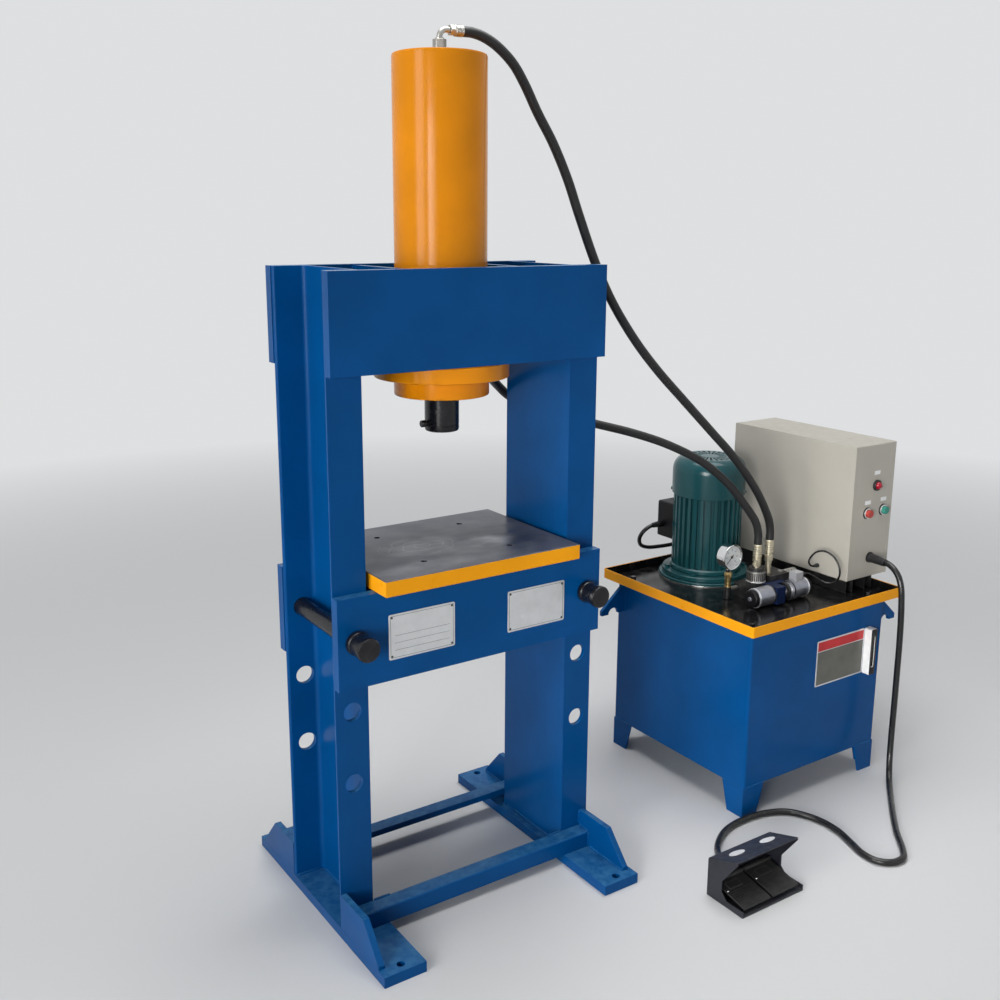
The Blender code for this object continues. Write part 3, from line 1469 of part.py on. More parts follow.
def cabinet():
    """Sheet box open on its +X side, with the button collars and the cable bosses."""
    shell = as_object(
        "cabinet",
        stack(side_loops((
            (0, cabinet_left), (0, door_face), (cabinet_wall, door_face),
            (cabinet_wall, cabinet_left + cabinet_wall),
        ))),
        beige, (0, 0, 0), root,
    )
    collars = []
    for name, x, z in (("lamp", lamp_x, lamp_z), ("red", red_x, red_z), ("green", green_x, green_z)):
        shape = moved(rod(collar_radius, -weld_bite, collar_length, button_edge, 20), turn=AXES["-y"])
        collars.append(tool(f"{name}_collar", shape, root, (x, cabinet_front, z), True))
    for name, y, z, radius, length in (
        ("motor", motor_gland_y, motor_gland_z, motor_gland_radius, motor_gland_length),
        ("valve", valve_gland_y, valve_gland_z, valve_gland_radius, valve_gland_length),
    ):
        shape = moved(rod(radius, -weld_bite, length, button_edge, 14), turn=AXES["-x"])
        collars.append(tool(f"{name}_boss", shape, root, (cabinet_left, y, z), True))
    boolean(shell, "UNION", collars)
    cuts = []
    for name, x, z, radius in (
        ("lamp", lamp_x, lamp_z, collar_bore), ("red", red_x, red_z, collar_bore), ("green", green_x, green_z, collar_bore),
        ("gland", gland_x, gland_z, cable_gland_sink + touch_gap),
    ):
        shape = moved(rod(radius, -button_stem_length, button_stem_length, steps=20), turn=AXES["-y"])
        cuts.append(tool(f"cut_{name}_hole", shape, root, (x, cabinet_front, z), True))
    return boolean(shell, "DIFFERENCE", cuts)


cabinet()

door_back = door_face + touch_gap
door_at = (cabinet_right - door_pin_inset, cabinet_rear, cabinet_bottom)
door_rows = side_loops((
    (cabinet_wall, cabinet_right - cabinet_wall), (cabinet_wall, door_back), (0, door_back), (0, cabinet_right),
))
door = as_object(
    "cabinet_door", moved(stack(door_rows), [-value for value in door_at]), beige, door_at, root,
)
locks = []
for number, share in enumerate((0.25, 0.75)):
    shape = moved(rod(door_lock_radius, -weld_bite, door_lock_height, button_edge, 14), turn=AXES["x"])
    place = (cabinet_right, cabinet_front + door_lock_inset, cabinet_bottom + (cabinet_top - cabinet_bottom) * share)
    locks.append(tool(f"door_lock_{number + 1}", shape, root, place, True))
boolean(door, "UNION", locks)

for word, x in (("left", left_rail_x), ("right", right_rail_x)):
    low = tray_floor + touch_gap
    high = low + rail_height
    half = rail_width / 2
    outline = [
        (x - half, low), (x - half + rail_wall, low), (x - half + rail_wall, high - rail_wall),
        (x + half - rail_wall, high - rail_wall), (x + half - rail_wall, low), (x + half, low), (x + half, high),
        (x - half, high),
    ]
    as_object(f"{word}_rail", prism(outline, rail_front, rail_rear, "y"), black, (0, 0, 0), root)

lamp_base = -cabinet_wall - touch_gap
lens = lathe([
    (0, lamp_proud + collar_length), (button_radius * 0.55, lamp_proud * 0.85 + collar_length),
    (button_radius * 0.9, lamp_proud * 0.45 + collar_length), (button_radius, collar_length),
    (button_radius, lamp_base), (collar_radius, lamp_base), (collar_radius, lamp_base - button_flange),
    (button_stem_radius, lamp_base - button_flange), (button_stem_radius, -button_stem_length),
    (0, -button_stem_length),
], 20)
as_object("indicator_lamp", moved(lens, turn=AXES["-y"]), red_lens, (lamp_x, cabinet_front, lamp_z), root, True)

for name, x, z, look in (("red_button", red_x, red_z, red_cap), ("green_button", green_x, green_z, green_cap)):
    face = collar_length + button_proud
    cap = lathe([
        (0, face), (button_radius - button_edge, face), (button_radius, face - button_edge),
        (button_radius, lamp_base), (collar_radius, lamp_base), (collar_radius, lamp_base - button_flange),
        (button_stem_radius, lamp_base - button_flange), (button_stem_radius, -button_stem_length),
        (0, -button_stem_length),
    ], 20)
    as_object(name, moved(cap, turn=AXES["-y"]), look, (x, cabinet_front, z), root, True)

gland_ob = as_object(
    "cable_gland",
    moved(lathe([
        (0, cable_gland_length), (pedal_cable_radius + button_flange, cable_gland_length),
        (cable_gland_flats / 2, cable_gland_length - cable_gland_flange),
        (cable_gland_flats / 2, cable_gland_flange), (cable_gland_radius, cable_gland_flange),
        (cable_gland_radius, touch_gap), (cable_gland_sink, touch_gap), (cable_gland_sink, -cable_gland_spigot),
        (0, -cable_gland_spigot),
    ], 20), turn=AXES["-y"]),
    dark_plastic, (gland_x, cabinet_front, gland_z), root, True,
)


def foot_switch():
    """Hooded housing: outer side profile, hollowed from the front, with the tread shaft inside."""
    hood_front = pedal_rear - pedal_hood_reach
    hood_top = pedal_height + pedal_hood_rise
    waist = pedal_rear - pedal_waist_reach
    profile = [
        (pedal_rear, 0), *arc(pedal_rear - pedal_round, pedal_height - pedal_round, pedal_round, 0, 90, 5),
        (hood_front, hood_top), (hood_front, hood_top - pedal_hood_lip), (waist, pedal_waist_z),
        (waist, pedal_waist_low), (waist - pedal_sill, pedal_sill), (pedal_front, pedal_sill), (pedal_front, 0),
    ]
    housing = as_object("pedal_housing", prism(profile, pedal_left, pedal_right, "x"), dark_plastic, (0, 0, 0), root)
    wall = pedal_wall
    cavity = [
        (pedal_rear - wall, pedal_base),
        *arc(pedal_rear - pedal_round, pedal_height - pedal_round, pedal_round - wall, 0, 90, 5),
        (hood_front, hood_top - wall), (hood_front - wall * 2, hood_top - wall), (pedal_front - wall, pedal_base * 2),
        (pedal_front - wall, pedal_base),
    ]
    boolean(housing, "DIFFERENCE", [
        tool("cut_pedal", prism(cavity, pedal_left + wall, pedal_right - wall, "x"), root),
    ])
    shaft = moved(rod(tread_pin_radius, pedal_left + wall / 2, pedal_right - wall / 2, steps=16), turn=AXES["x"])
    boss = moved(rod(pedal_gland_radius, -weld_bite, pedal_gland_length, button_edge, 16), turn=AXES["y"])
    return boolean(housing, "UNION", [
        tool("tread_shaft", shaft, root, (0, tread_pivot_y, tread_pivot_z), True),
        tool("pedal_gland", boss, root, (pedal_gland_x, pedal_rear, pedal_gland_z), True),
    ])


foot_switch()

for number, word in enumerate(("left", "right")):
    start = pedal_left + pedal_wall + tread_gap + number * (tread_width + tread_gap)
    reach = tread_front - tread_pivot_y
    drop = tread_front_z - tread_pivot_z
    outline = [
        (0, tread_thickness / 2), (reach, drop), (reach, drop - tread_lip),
        (reach + tread_thickness / 2, drop - tread_lip), (reach + tread_thickness / 2, drop - tread_thickness),
        (0, -tread_thickness / 2),
    ]
    at = (start, tread_pivot_y, tread_pivot_z)
    tread = as_object(f"{word}_tread", prism(outline, 0, tread_width, "x"), dark_plastic, at, root)
    hub = moved(rod(tread_hub_radius, 0, tread_width, steps=16), turn=AXES["x"])
    boolean(tread, "UNION", [tool(f"{word}_tread_hub", hub, root, at, True)])
    bore = moved(rod(tread_pin_radius + running_gap, -tread_gap, tread_width + tread_gap, steps=16), turn=AXES["x"])
    boolean(tread, "DIFFERENCE", [tool(f"cut_{word}_tread", bore, root, at, True)])

side_way = Matrix.Rotation(math.radians(side_port_angle), 4, "Z") @ Vector((1, 0, 0))
cord(
    "upper_hose", upper_hose_route,
    (((ferrule_end + touch_gap, 0, top_pipe_z), (1, 0, 0)),
     ((rear_hose_x, hose_y, rear_ferrule_top + touch_gap), (0, 0, 1))),
    hose_radius, rubber, root,
)
cord(
    "lower_hose", lower_hose_route,
    ((side_way * (side_end + touch_gap) + Vector((0, 0, side_port_z)), side_way),
     ((front_hose_x, hose_y, front_ferrule_top + touch_gap), (0, 0, 1))),
    hose_radius, rubber, root,
)
cord(
    "pedal_cable", pedal_cable_route,
    (((gland_x, cabinet_front - cable_gland_length - touch_gap, gland_z), (0, -1, 0)),
     ((pedal_gland_x, pedal_rear + pedal_gland_length + touch_gap, pedal_gland_z), (0, 1, 0))),
    pedal_cable_radius, rubber, root,
)
cord(
    "motor_cable", motor_cable_route,
    (((box_left - box_gland_length - touch_gap, box_gland_y, box_gland_z), (-1, 0, 0)),
     ((cabinet_left - motor_gland_length - touch_gap, motor_gland_y, motor_gland_z), (-1, 0, 0))),
    motor_cable_radius, rubber, root,
)
cord(
    "valve_cable", valve_cable_route,
    ((plug_tail_tip + Vector((touch_gap, 0, 0)), (1, 0, 0)),
     ((cabinet_left - valve_gland_length - touch_gap, valve_gland_y, valve_gland_z), (-1, 0, 0))),
    valve_cable_radius, rubber, root,
)
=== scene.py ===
# %% [markdown]
# # A workshop press, dressed for its picture
#
# The imported CAD model is the fixed frame: every plate, tube and screw already has its place and size.
# This notebook adds what a camera sees, which is paint, machining marks, welds, hoses and small fastenings.
# The first cell loads the frame before anything is added, and gives a helper that measures a node's box.

import json
import math

import bmesh
import bpy
from mathutils import Matrix, Vector, noise


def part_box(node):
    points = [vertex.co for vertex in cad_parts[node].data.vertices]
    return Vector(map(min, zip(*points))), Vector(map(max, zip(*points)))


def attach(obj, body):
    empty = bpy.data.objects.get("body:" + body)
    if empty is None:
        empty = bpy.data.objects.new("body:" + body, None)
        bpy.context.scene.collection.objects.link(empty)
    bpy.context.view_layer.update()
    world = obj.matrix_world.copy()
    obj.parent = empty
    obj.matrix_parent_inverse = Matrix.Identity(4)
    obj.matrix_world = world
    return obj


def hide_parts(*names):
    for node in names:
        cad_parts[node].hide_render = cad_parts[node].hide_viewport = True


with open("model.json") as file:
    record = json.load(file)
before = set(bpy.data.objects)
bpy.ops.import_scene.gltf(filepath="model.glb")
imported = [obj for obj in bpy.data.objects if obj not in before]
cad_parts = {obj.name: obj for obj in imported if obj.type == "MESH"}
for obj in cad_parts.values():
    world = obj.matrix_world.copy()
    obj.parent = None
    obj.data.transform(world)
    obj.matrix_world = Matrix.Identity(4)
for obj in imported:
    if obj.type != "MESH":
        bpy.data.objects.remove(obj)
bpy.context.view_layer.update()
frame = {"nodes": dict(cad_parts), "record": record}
body_of = {node: body for body, nodes in frame["record"]["behaviour"]["bodies"].items() for node in nodes}

# %% [markdown]
# Places on the machine are easiest to give from the middle of the press itself, as its drawing would.
# The crown is centred on that line, so the middle of its box is the zero point for x and y, and the floor is z = 0.

# %% A place on the machine
crown_low, crown_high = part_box("crown")
press_middle = (crown_low + crown_high) / 2


def at(x, y, z):
    """A point given from the press's centre line and the floor."""
    return Vector((press_middle.x + x, press_middle.y + y, z))


def middle_of(node):
    """The middle of a CAD node's box."""
    low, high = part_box(node)
    return (low + high) / 2


print("press centre line at", tuple(round(value, 4) for value in press_middle))

# %% [markdown]
# ## The camera
#
# The picture was taken from the front left at eye height, looking a little down.
# Yaw, pitch and roll are turned into the three directions of a camera: right, up and back.

# %% Camera
camera_place = at(-1.2721, -2.1097, 1.5433)
camera_yaw = math.radians(34.127)
camera_pitch = math.radians(12.835)
camera_roll = math.radians(0.312)

ahead = Vector((
    math.sin(camera_yaw) * math.cos(camera_pitch),
    math.cos(camera_yaw) * math.cos(camera_pitch),
    -math.sin(camera_pitch),
))
level_right = Vector((math.cos(camera_yaw), -math.sin(camera_yaw), 0))
level_up = level_right.cross(ahead)
right = level_right * math.cos(camera_roll) + level_up * math.sin(camera_roll)
up = level_up * math.cos(camera_roll) - level_right * math.sin(camera_roll)

camera_data = bpy.data.cameras.new("camera")
camera_data.sensor_width = 36
camera_data.lens = 40.21
camera_data.shift_y = -0.0269
camera = bpy.data.objects.new("camera", camera_data)
turned = Matrix((right, up, -ahead)).transposed()
camera.matrix_world = Matrix.Translation(camera_place) @ turned.to_4x4()
bpy.context.scene.collection.objects.link(camera)
bpy.context.scene.camera = camera
print("camera at", tuple(round(value, 3) for value in camera_place))

# %% [markdown]
# ## Finishes
#
# Every finish is a small recipe of nodes. The helpers below keep the recipes short.
# All patterns read Object coordinates, which are metres here, so a scale of 400 gives grains of about 2.5 mm.

# %% Helpers for finishes
def new_finish(name, colour, roughness, metallic=0.0, **extra):
    """A material with its plain numbers set straight on the shader."""
    made = bpy.data.materials.new(name)
    made.use_nodes = True
    tree = made.node_tree
    shader = tree.nodes["Principled BSDF"]
    shader.inputs["Base Color"].default_value = (*colour, 1)
    shader.inputs["Roughness"].default_value = roughness
    shader.inputs["Metallic"].default_value = metallic
    for socket, value in extra.items():
        shader.inputs[socket.replace("_", " ")].default_value = value
    made.diffuse_color = (*colour, 1)
    return made, tree, shader


def added(tree, kind, **sockets):
    """A node of one kind with some of its sockets set."""
    made = tree.nodes.new(kind)
    for socket, value in sockets.items():
        made.inputs[socket].default_value = value
    return made


def grains(tree, scale, detail=2.0, stretch=(1, 1, 1)):
    """Noise on Object coordinates; stretch makes the grains longer on an axis where it is small."""
    place = added(tree, "ShaderNodeTexCoord")
    mapping = added(tree, "ShaderNodeMapping", Scale=stretch)
    pattern = added(tree, "ShaderNodeTexNoise", Scale=scale, Detail=detail)
    tree.links.new(place.outputs["Object"], mapping.inputs["Vector"])
    tree.links.new(mapping.outputs["Vector"], pattern.inputs["Vector"])
    return pattern.outputs["Fac"]


def between(tree, source, low, high, start=0.3, end=0.7):
    """Stretch a 0 to 1 pattern so that start gives low and end gives high."""
    span = added(tree, "ShaderNodeMapRange")
    span.inputs["From Min"].default_value = start
    span.inputs["From Max"].default_value = end
    span.inputs["To Min"].default_value = low
    span.inputs["To Max"].default_value = high
    tree.links.new(source, span.inputs["Value"])
    return span.outputs["Result"]


def times(tree, first, second):
    """Multiply two patterns."""
    made = added(tree, "ShaderNodeMath")
    made.operation = "MULTIPLY"
    tree.links.new(first, made.inputs[0])
    tree.links.new(second, made.inputs[1])
    return made.outputs["Value"]


def mixed(tree, factor, first, second):
    """Mix two colours, each a colour or another node's output."""
    made = added(tree, "ShaderNodeMixRGB")
    tree.links.new(factor, made.inputs["Fac"])
    for socket, value in (("Color1", first), ("Color2", second)):
        if isinstance(value, tuple):
            made.inputs[socket].default_value = (*value, 1)
        else:
            tree.links.new(value, made.inputs[socket])
    return made.outputs["Color"]


def facing_up(tree, start=0.6, end=0.98):
    """1 where a surface looks up, 0 where it doesn't."""
    normal = added(tree, "ShaderNodeNewGeometry")
    parts = added(tree, "ShaderNodeSeparateXYZ")
    tree.links.new(normal.outputs["Normal"], parts.inputs["Vector"])
    return between(tree, parts.outputs["Z"], 0, 1, start, end)


def raised(tree, shader, height, depth, strength=1.0):
    """Use a pattern as a relief of the given depth in metres."""
    relief = added(tree, "ShaderNodeBump", Strength=strength, Distance=depth)
    tree.links.new(height, relief.inputs["Height"])
    tree.links.new(relief.outputs["Normal"], shader.inputs["Normal"])
    return relief


def scaled(colour, share):
    """The same colour, lighter or darker."""
    return tuple(min(1.0, value * share) for value in colour)


# %% [markdown]
# Enamel is the finish of the whole frame. On the real press it is sprayed on over mill scale, so it is glossy,
# has a faint orange peel and drifts a little in tone. Its up-facing faces take a top colour in patches:
# grey workshop dust on most paints, and on the blue a lighter blue that is painted light on the tops.
# One recipe with its own colour, gloss and top colour serves the blue, the orange, the yellow edges and the motor's
# green.

# %% Enamel
dust = (0.30, 0.29, 0.27)


def enamel(name, colour, roughness, top_share=0.08, peel=0.00006, specular=0.10, drift=0.10, dust_and_top_light_colour=dust):
    """Sprayed paint: a slow drift of tone, a top colour on flats (grey dust on most paints, painted light on the
    blue), uneven gloss and orange peel.
    """
    made, tree, shader = new_finish(name, colour, roughness, Specular_IOR_Level=specular)
    tone = mixed(tree, between(tree, grains(tree, 6, 3), 0, 1), scaled(colour, 1 - drift), scaled(colour, 1 + drift))
    top_patches = between(tree, grains(tree, 55, 4), 0.25, 1)
    # Up-facing faces mix in the top colour in patches: grey dust on most paints, a painted highlight on the blue.
    top_mask = times(tree, facing_up(tree), top_patches)
    top_mask = between(tree, top_mask, 0, top_share, 0, 1)
    tree.links.new(mixed(tree, top_mask, tone, dust_and_top_light_colour), shader.inputs["Base Color"])
    tree.links.new(between(tree, grains(tree, 28, 4), roughness * 0.9, roughness * 1.2), shader.inputs["Roughness"])
    raised(tree, shader, grains(tree, 260, 2), peel)
    return made


# The blue's top colour is a lighter blue: a painted highlight on every up-facing face, not dust.
blue_enamel = enamel("blue_enamel", (0.0004, 0.064, 0.228), 0.22, top_share=0.34, dust_and_top_light_colour=(0.10, 0.33, 0.56))
orange_enamel = enamel("orange_enamel", (0.72, 0.245, 0.003), 0.17, top_share=0.04, specular=0.16)
yellow_edge = enamel("yellow_edge", (0.82, 0.33, 0.006), 0.3, top_share=0.03, drift=0.07)
motor_green = enamel("motor_green", (0.010, 0.064, 0.074), 0.2, top_share=0.03, specular=0.3)
valve_navy = enamel("valve_navy", (0.006, 0.014, 0.05), 0.35, top_share=0.05)
print("enamels:", blue_enamel.name, orange_enamel.name, yellow_edge.name, motor_green.name, valve_navy.name)

# %% [markdown]
# The cabinet is powder coated: a finer and duller skin than enamel, with a close grain of about a millimetre.

# %% Powder coat
def powder_coat(name, colour, roughness=0.5):
    """Matt coat with a close, shallow grain and faint handling marks."""
    made, tree, shader = new_finish(name, colour, roughness, Specular_IOR_Level=0.35)
    marks = between(tree, grains(tree, 9, 5), 0, 0.5, 0.45, 0.8)
    tree.links.new(mixed(tree, marks, colour, scaled(colour, 0.86)), shader.inputs["Base Color"])
    tree.links.new(between(tree, grains(tree, 40, 3), roughness - 0.08, roughness + 0.1), shader.inputs["Roughness"])
    raised(tree, shader, grains(tree, 900, 1), 0.00005)
    return made


cabinet_beige = powder_coat("cabinet_beige", (0.42, 0.40, 0.355))
print("powder coat:", cabinet_beige.name)

# %% [markdown]
# The table is milled on top and never painted. It has fine parallel cutter marks, dark oil stains, wiped streaks,
# and a few rubbed places where work has lain. Each rubbed place is a soft round mask, stretched sideways, times a noise.

# %% Milled steel of the table
def milled_top(name, spots):
    """Milled steel with cutter marks along x, oil stains, wiped streaks, and rubbed spots that may hold a few arcs."""
    made, tree, shader = new_finish(name, (0.1, 0.1, 0.11), 0.4, 0.35)
    stain = between(tree, grains(tree, 8, 5), 0, 1, 0.34, 0.68)
    steel = mixed(tree, stain, (0.045, 0.050, 0.066), (0.125, 0.130, 0.155))
    wiped = between(tree, grains(tree, 13, 4, (0.4, 1, 1)), 0, 0.4, 0.5, 0.74)
    steel = mixed(tree, wiped, steel, (0.19, 0.195, 0.22))
    place = added(tree, "ShaderNodeTexCoord")
    for centre, reach, rub, arcs in spots:
        shift = added(tree, "ShaderNodeMapping")
        shift.vector_type = "TEXTURE"
        shift.inputs["Location"].default_value = centre
        shift.inputs["Scale"].default_value = reach
        ball = added(tree, "ShaderNodeTexGradient")
        ball.gradient_type = "SPHERICAL"
        tree.links.new(place.outputs["Object"], shift.inputs["Vector"])
        tree.links.new(shift.outputs["Vector"], ball.inputs["Vector"])
        within = between(tree, ball.outputs["Fac"], 0, 1, 0.02, 0.5)
        rubbed = times(tree, within, between(tree, grains(tree, 17, 4, (0.55, 1, 1)), 0.08, rub, 0.38, 0.62))
        steel = mixed(tree, rubbed, steel, (0.36, 0.365, 0.39))
        if arcs:
            swirl = added(tree, "ShaderNodeTexWave", Scale=1.1, Distortion=9.0, Detail=4.0)
            swirl.wave_type = "RINGS"
            swirl.rings_direction = "Z"
            tree.links.new(shift.outputs["Vector"], swirl.inputs["Vector"])
            scored = times(tree, within, between(tree, swirl.outputs["Fac"], 0, arcs, 0.965, 0.998))
            steel = mixed(tree, scored, steel, (0.50, 0.50, 0.52))
    tree.links.new(steel, shader.inputs["Base Color"])
    tree.links.new(between(tree, grains(tree, 16, 4), 0.28, 0.5), shader.inputs["Roughness"])
    raised(tree, shader, grains(tree, 700, 2, (0.06, 1, 1)), 0.00004)
    return made


table_top_steel = milled_top("table_top_steel", [
    (at(-0.060, -0.010, 0.822), (0.115, 0.085, 0.2), 0.6, 0.38),
    (at(0.085, -0.055, 0.822), (0.085, 0.050, 0.2), 1.0, 0.0),
    (at(-0.110, -0.140, 0.822), (0.130, 0.050, 0.2), 0.35, 0.0),
])
print("milled steel:", table_top_steel.name)

# %% [markdown]
# The small metal parts are plated, turned, blackened or polished. They share one recipe:
# a metal colour, a gloss that varies in fine patches, and grains that can be drawn out along one axis.

# %% Bare and plated metals
def metal(name, colour, roughness, grain=300, depth=0.00002, stretch=(1, 1, 1), worn=0.85):
    """Metal with a fine grain and slightly darker handled places."""
    made, tree, shader = new_finish(name, colour, roughness, 1.0)
    patches = between(tree, grains(tree, 45, 4), 0, 1, 0.4, 0.7)
    tree.links.new(mixed(tree, patches, colour, scaled(colour, worn)), shader.inputs["Base Color"])
    tree.links.new(between(tree, grains(tree, 70, 3), roughness * 0.75, roughness * 1.3), shader.inputs["Roughness"])
    raised(tree, shader, grains(tree, grain, 2, stretch), depth)
    return made


chrome = metal("chrome", (0.80, 0.80, 0.80), 0.10, depth=0.000004, worn=0.97)
zinc_plate = metal("zinc_plate", (0.44, 0.43, 0.40), 0.34)
yellow_plate = metal("yellow_plate", (0.66, 0.60, 0.45), 0.30)
turned_brass = metal("turned_brass", (0.72, 0.53, 0.24), 0.28)
turned_steel = metal("turned_steel", (0.52, 0.52, 0.51), 0.32)
coil_can = metal("coil_can", (0.36, 0.37, 0.42), 0.40)
plate_aluminium = metal("plate_aluminium", (0.74, 0.75, 0.76), 0.42, grain=900, stretch=(0.1, 1, 1), worn=0.94)


def blackened(name, colour, roughness, rubbed=(0.075, 0.073, 0.07)):
    """Oiled black steel: part metal, with brighter rubbed patches."""
    made, tree, shader = new_finish(name, colour, roughness, 0.3)
    patches = between(tree, grains(tree, 38, 5), 0, 0.55, 0.5, 0.75)
    tree.links.new(mixed(tree, patches, colour, rubbed), shader.inputs["Base Color"])
    tree.links.new(between(tree, grains(tree, 60, 3), roughness * 0.8, roughness * 1.3), shader.inputs["Roughness"])
    raised(tree, shader, grains(tree, 420, 2), 0.00005)
    return made


black_steel = blackened("black_steel", (0.014, 0.014, 0.015), 0.36)
oily_black = blackened("oily_black", (0.007, 0.007, 0.008), 0.2)
pin_black = blackened("pin_black", (0.008, 0.008, 0.010), 0.24, (0.026, 0.026, 0.028))
print("metals:", chrome.name, zinc_plate.name, yellow_plate.name, turned_brass.name, black_steel.name)

# %% [markdown]
# Rubber, moulded plastic and lamp lenses. Plastic is never quite even, so its gloss and tone drift a little too.

# %% Rubber, plastic and lenses
def moulded(name, colour, roughness, grain=600, depth=0.00003, top_share=0.06, specular=0.4):
    """Moulded plastic or rubber: fine grain, uneven gloss, dust on top."""
    made, tree, shader = new_finish(name, colour, roughness, Specular_IOR_Level=specular)
    top_mask = times(tree, facing_up(tree, 0.2), between(tree, grains(tree, 70, 4), 0, 1))
    top_mask = between(tree, top_mask, 0, top_share, 0, 1)
    tone = mixed(tree, between(tree, grains(tree, 20, 3), 0, 1), scaled(colour, 0.88), scaled(colour, 1.12))
    tree.links.new(mixed(tree, top_mask, tone, dust), shader.inputs["Base Color"])
    tree.links.new(between(tree, grains(tree, 50, 3), roughness * 0.85, roughness * 1.2), shader.inputs["Roughness"])
    raised(tree, shader, grains(tree, grain, 2), depth)
    return made


hose_rubber = moulded("hose_rubber", (0.010, 0.010, 0.011), 0.46, 1100, 0.00012)
cable_rubber = moulded("cable_rubber", (0.009, 0.009, 0.010), 0.24, 500, 0.00002)
lead_grey = moulded("lead_grey", (0.42, 0.43, 0.44), 0.4)
black_plastic = moulded("black_plastic", (0.013, 0.013, 0.015), 0.38)
cap_black = moulded("cap_black", (0.004, 0.004, 0.005), 0.45, top_share=0.0, specular=0.2)
hood_black = moulded("hood_black", (0.016, 0.017, 0.024), 0.42, 700, 0.00006, top_share=0.10)
tread_black = moulded("tread_black", (0.014, 0.014, 0.015), 0.5, 800, 0.0001)
pad_grey = moulded("pad_grey", (0.045, 0.045, 0.048), 0.35)
coil_grey = moulded("coil_grey", (0.30, 0.305, 0.32), 0.4)
white_plastic = moulded("white_plastic", (0.78, 0.79, 0.80), 0.35)
button_red = moulded("button_red", (0.42, 0.045, 0.035), 0.3)
button_green = moulded("button_green", (0.03, 0.24, 0.19), 0.3)
band_red = moulded("band_red", (0.50, 0.02, 0.025), 0.45)
field_grey = moulded("field_grey", (0.115, 0.115, 0.10), 0.5)
dial_white = moulded("dial_white", (0.82, 0.83, 0.84), 0.4, top_share=0.0)
dial_ink = moulded("dial_ink", (0.012, 0.012, 0.014), 0.5, top_share=0.0)
needle_ink = moulded("needle_ink", (0.012, 0.012, 0.014), 0.4, top_share=0.0)


def lens(name, colour, roughness, transmission, thickness_tint=1.3):
    """A clear or tinted lens with a faint ripple."""
    made, tree, shader = new_finish(name, colour, roughness, Transmission_Weight=transmission, IOR=1.45)
    tone = mixed(tree, between(tree, grains(tree, 30, 2), 0, 1), colour, scaled(colour, thickness_tint))
    tree.links.new(tone, shader.inputs["Base Color"])
    raised(tree, shader, grains(tree, 180, 1), 0.00002)
    return made


lamp_red = lens("lamp_red", (0.36, 0.004, 0.02), 0.08, 0.25)
gauge_glass = lens("gauge_glass", (0.96, 0.97, 0.97), 0.03, 1.0, 1.02)
oil_glass = lens("oil_glass", (0.06, 0.055, 0.04), 0.08, 0.4)
print("finishes in all:", len(bpy.data.materials))

# %% [markdown]
# ## Shapes
#
# A finished piece keeps its place in its mesh, with its object at the origin, as the CAD nodes do.
# The helpers below spin, turn and gather shapes, and hand the finished piece to the body that it moves with.

# %% Helpers for shapes
TURNS = {
    "z": Matrix.Identity(4), "-z": Matrix.Rotation(math.pi, 4, "X"),
    "x": Matrix.Rotation(math.pi / 2, 4, "Y"), "-x": Matrix.Rotation(-math.pi / 2, 4, "Y"),
    "y": Matrix.Rotation(-math.pi / 2, 4, "X"), "-y": Matrix.Rotation(math.pi / 2, 4, "X"),
}
merge_reach = 0.00002


def put(shape, place, axis="z"):
    """Turn a shape that was made along +Z to another axis, or to a direction, and move it to its place."""
    if isinstance(axis, str):
        turn = TURNS[axis]
    else:
        turn = Vector(axis).to_track_quat("Z", "Y").to_matrix().to_4x4()
    bmesh.ops.transform(shape, matrix=Matrix.Translation(place) @ turn, verts=shape.verts)
    return shape


def spun(profile, steps=64, closed=False):
    """Spin radius and height pairs a full turn about Z."""
    shape = bmesh.new()
    verts = [shape.verts.new((radius, 0, height)) for radius, height in profile]
    pairs = list(zip(verts, verts[1:]))
    if closed:
        pairs.append((verts[-1], verts[0]))
    edges = [shape.edges.new(pair) for pair in pairs]
    bmesh.ops.spin(
        shape, geom=verts + edges, cent=(0, 0, 0), axis=(0, 0, 1), angle=2 * math.pi, steps=steps, use_merge=True,
    )
    bmesh.ops.remove_doubles(shape, verts=shape.verts, dist=merge_reach)
    bmesh.ops.recalc_face_normals(shape, faces=shape.faces)
    return shape


def block(low, high):
    """A box between two corners."""
    shape = bmesh.new()
    bmesh.ops.create_cube(shape, size=1)
    low, high = Vector(low), Vector(high)
    bmesh.ops.scale(shape, vec=high - low, verts=shape.verts)
    bmesh.ops.translate(shape, vec=(low + high) / 2, verts=shape.verts)
    return shape


def edges_over(shape, degrees):
    """The edges where two faces meet at more than an angle."""
    limit = math.radians(degrees)
    return [edge for edge in shape.edges if len(edge.link_faces) == 2 and edge.calc_face_angle() > limit]


def eased(shape, width, segments=2, degrees=38):
    """Round the sharp edges, as grinding, paint or a mould does."""
    bmesh.ops.bevel(
        shape, geom=edges_over(shape, degrees), offset=width, offset_type="OFFSET", segments=segments,
        profile=0.5, affect="EDGES", material=-1, clamp_overlap=True,
    )
    return shape


def disc(radius, low, high, steps=32, edge=0.0, segments=2):
    """A round bar or washer along Z."""
    shape = spun([(0, high), (radius, high), (radius, low), (0, low)], steps)
    return eased(shape, edge, segments) if edge else shape


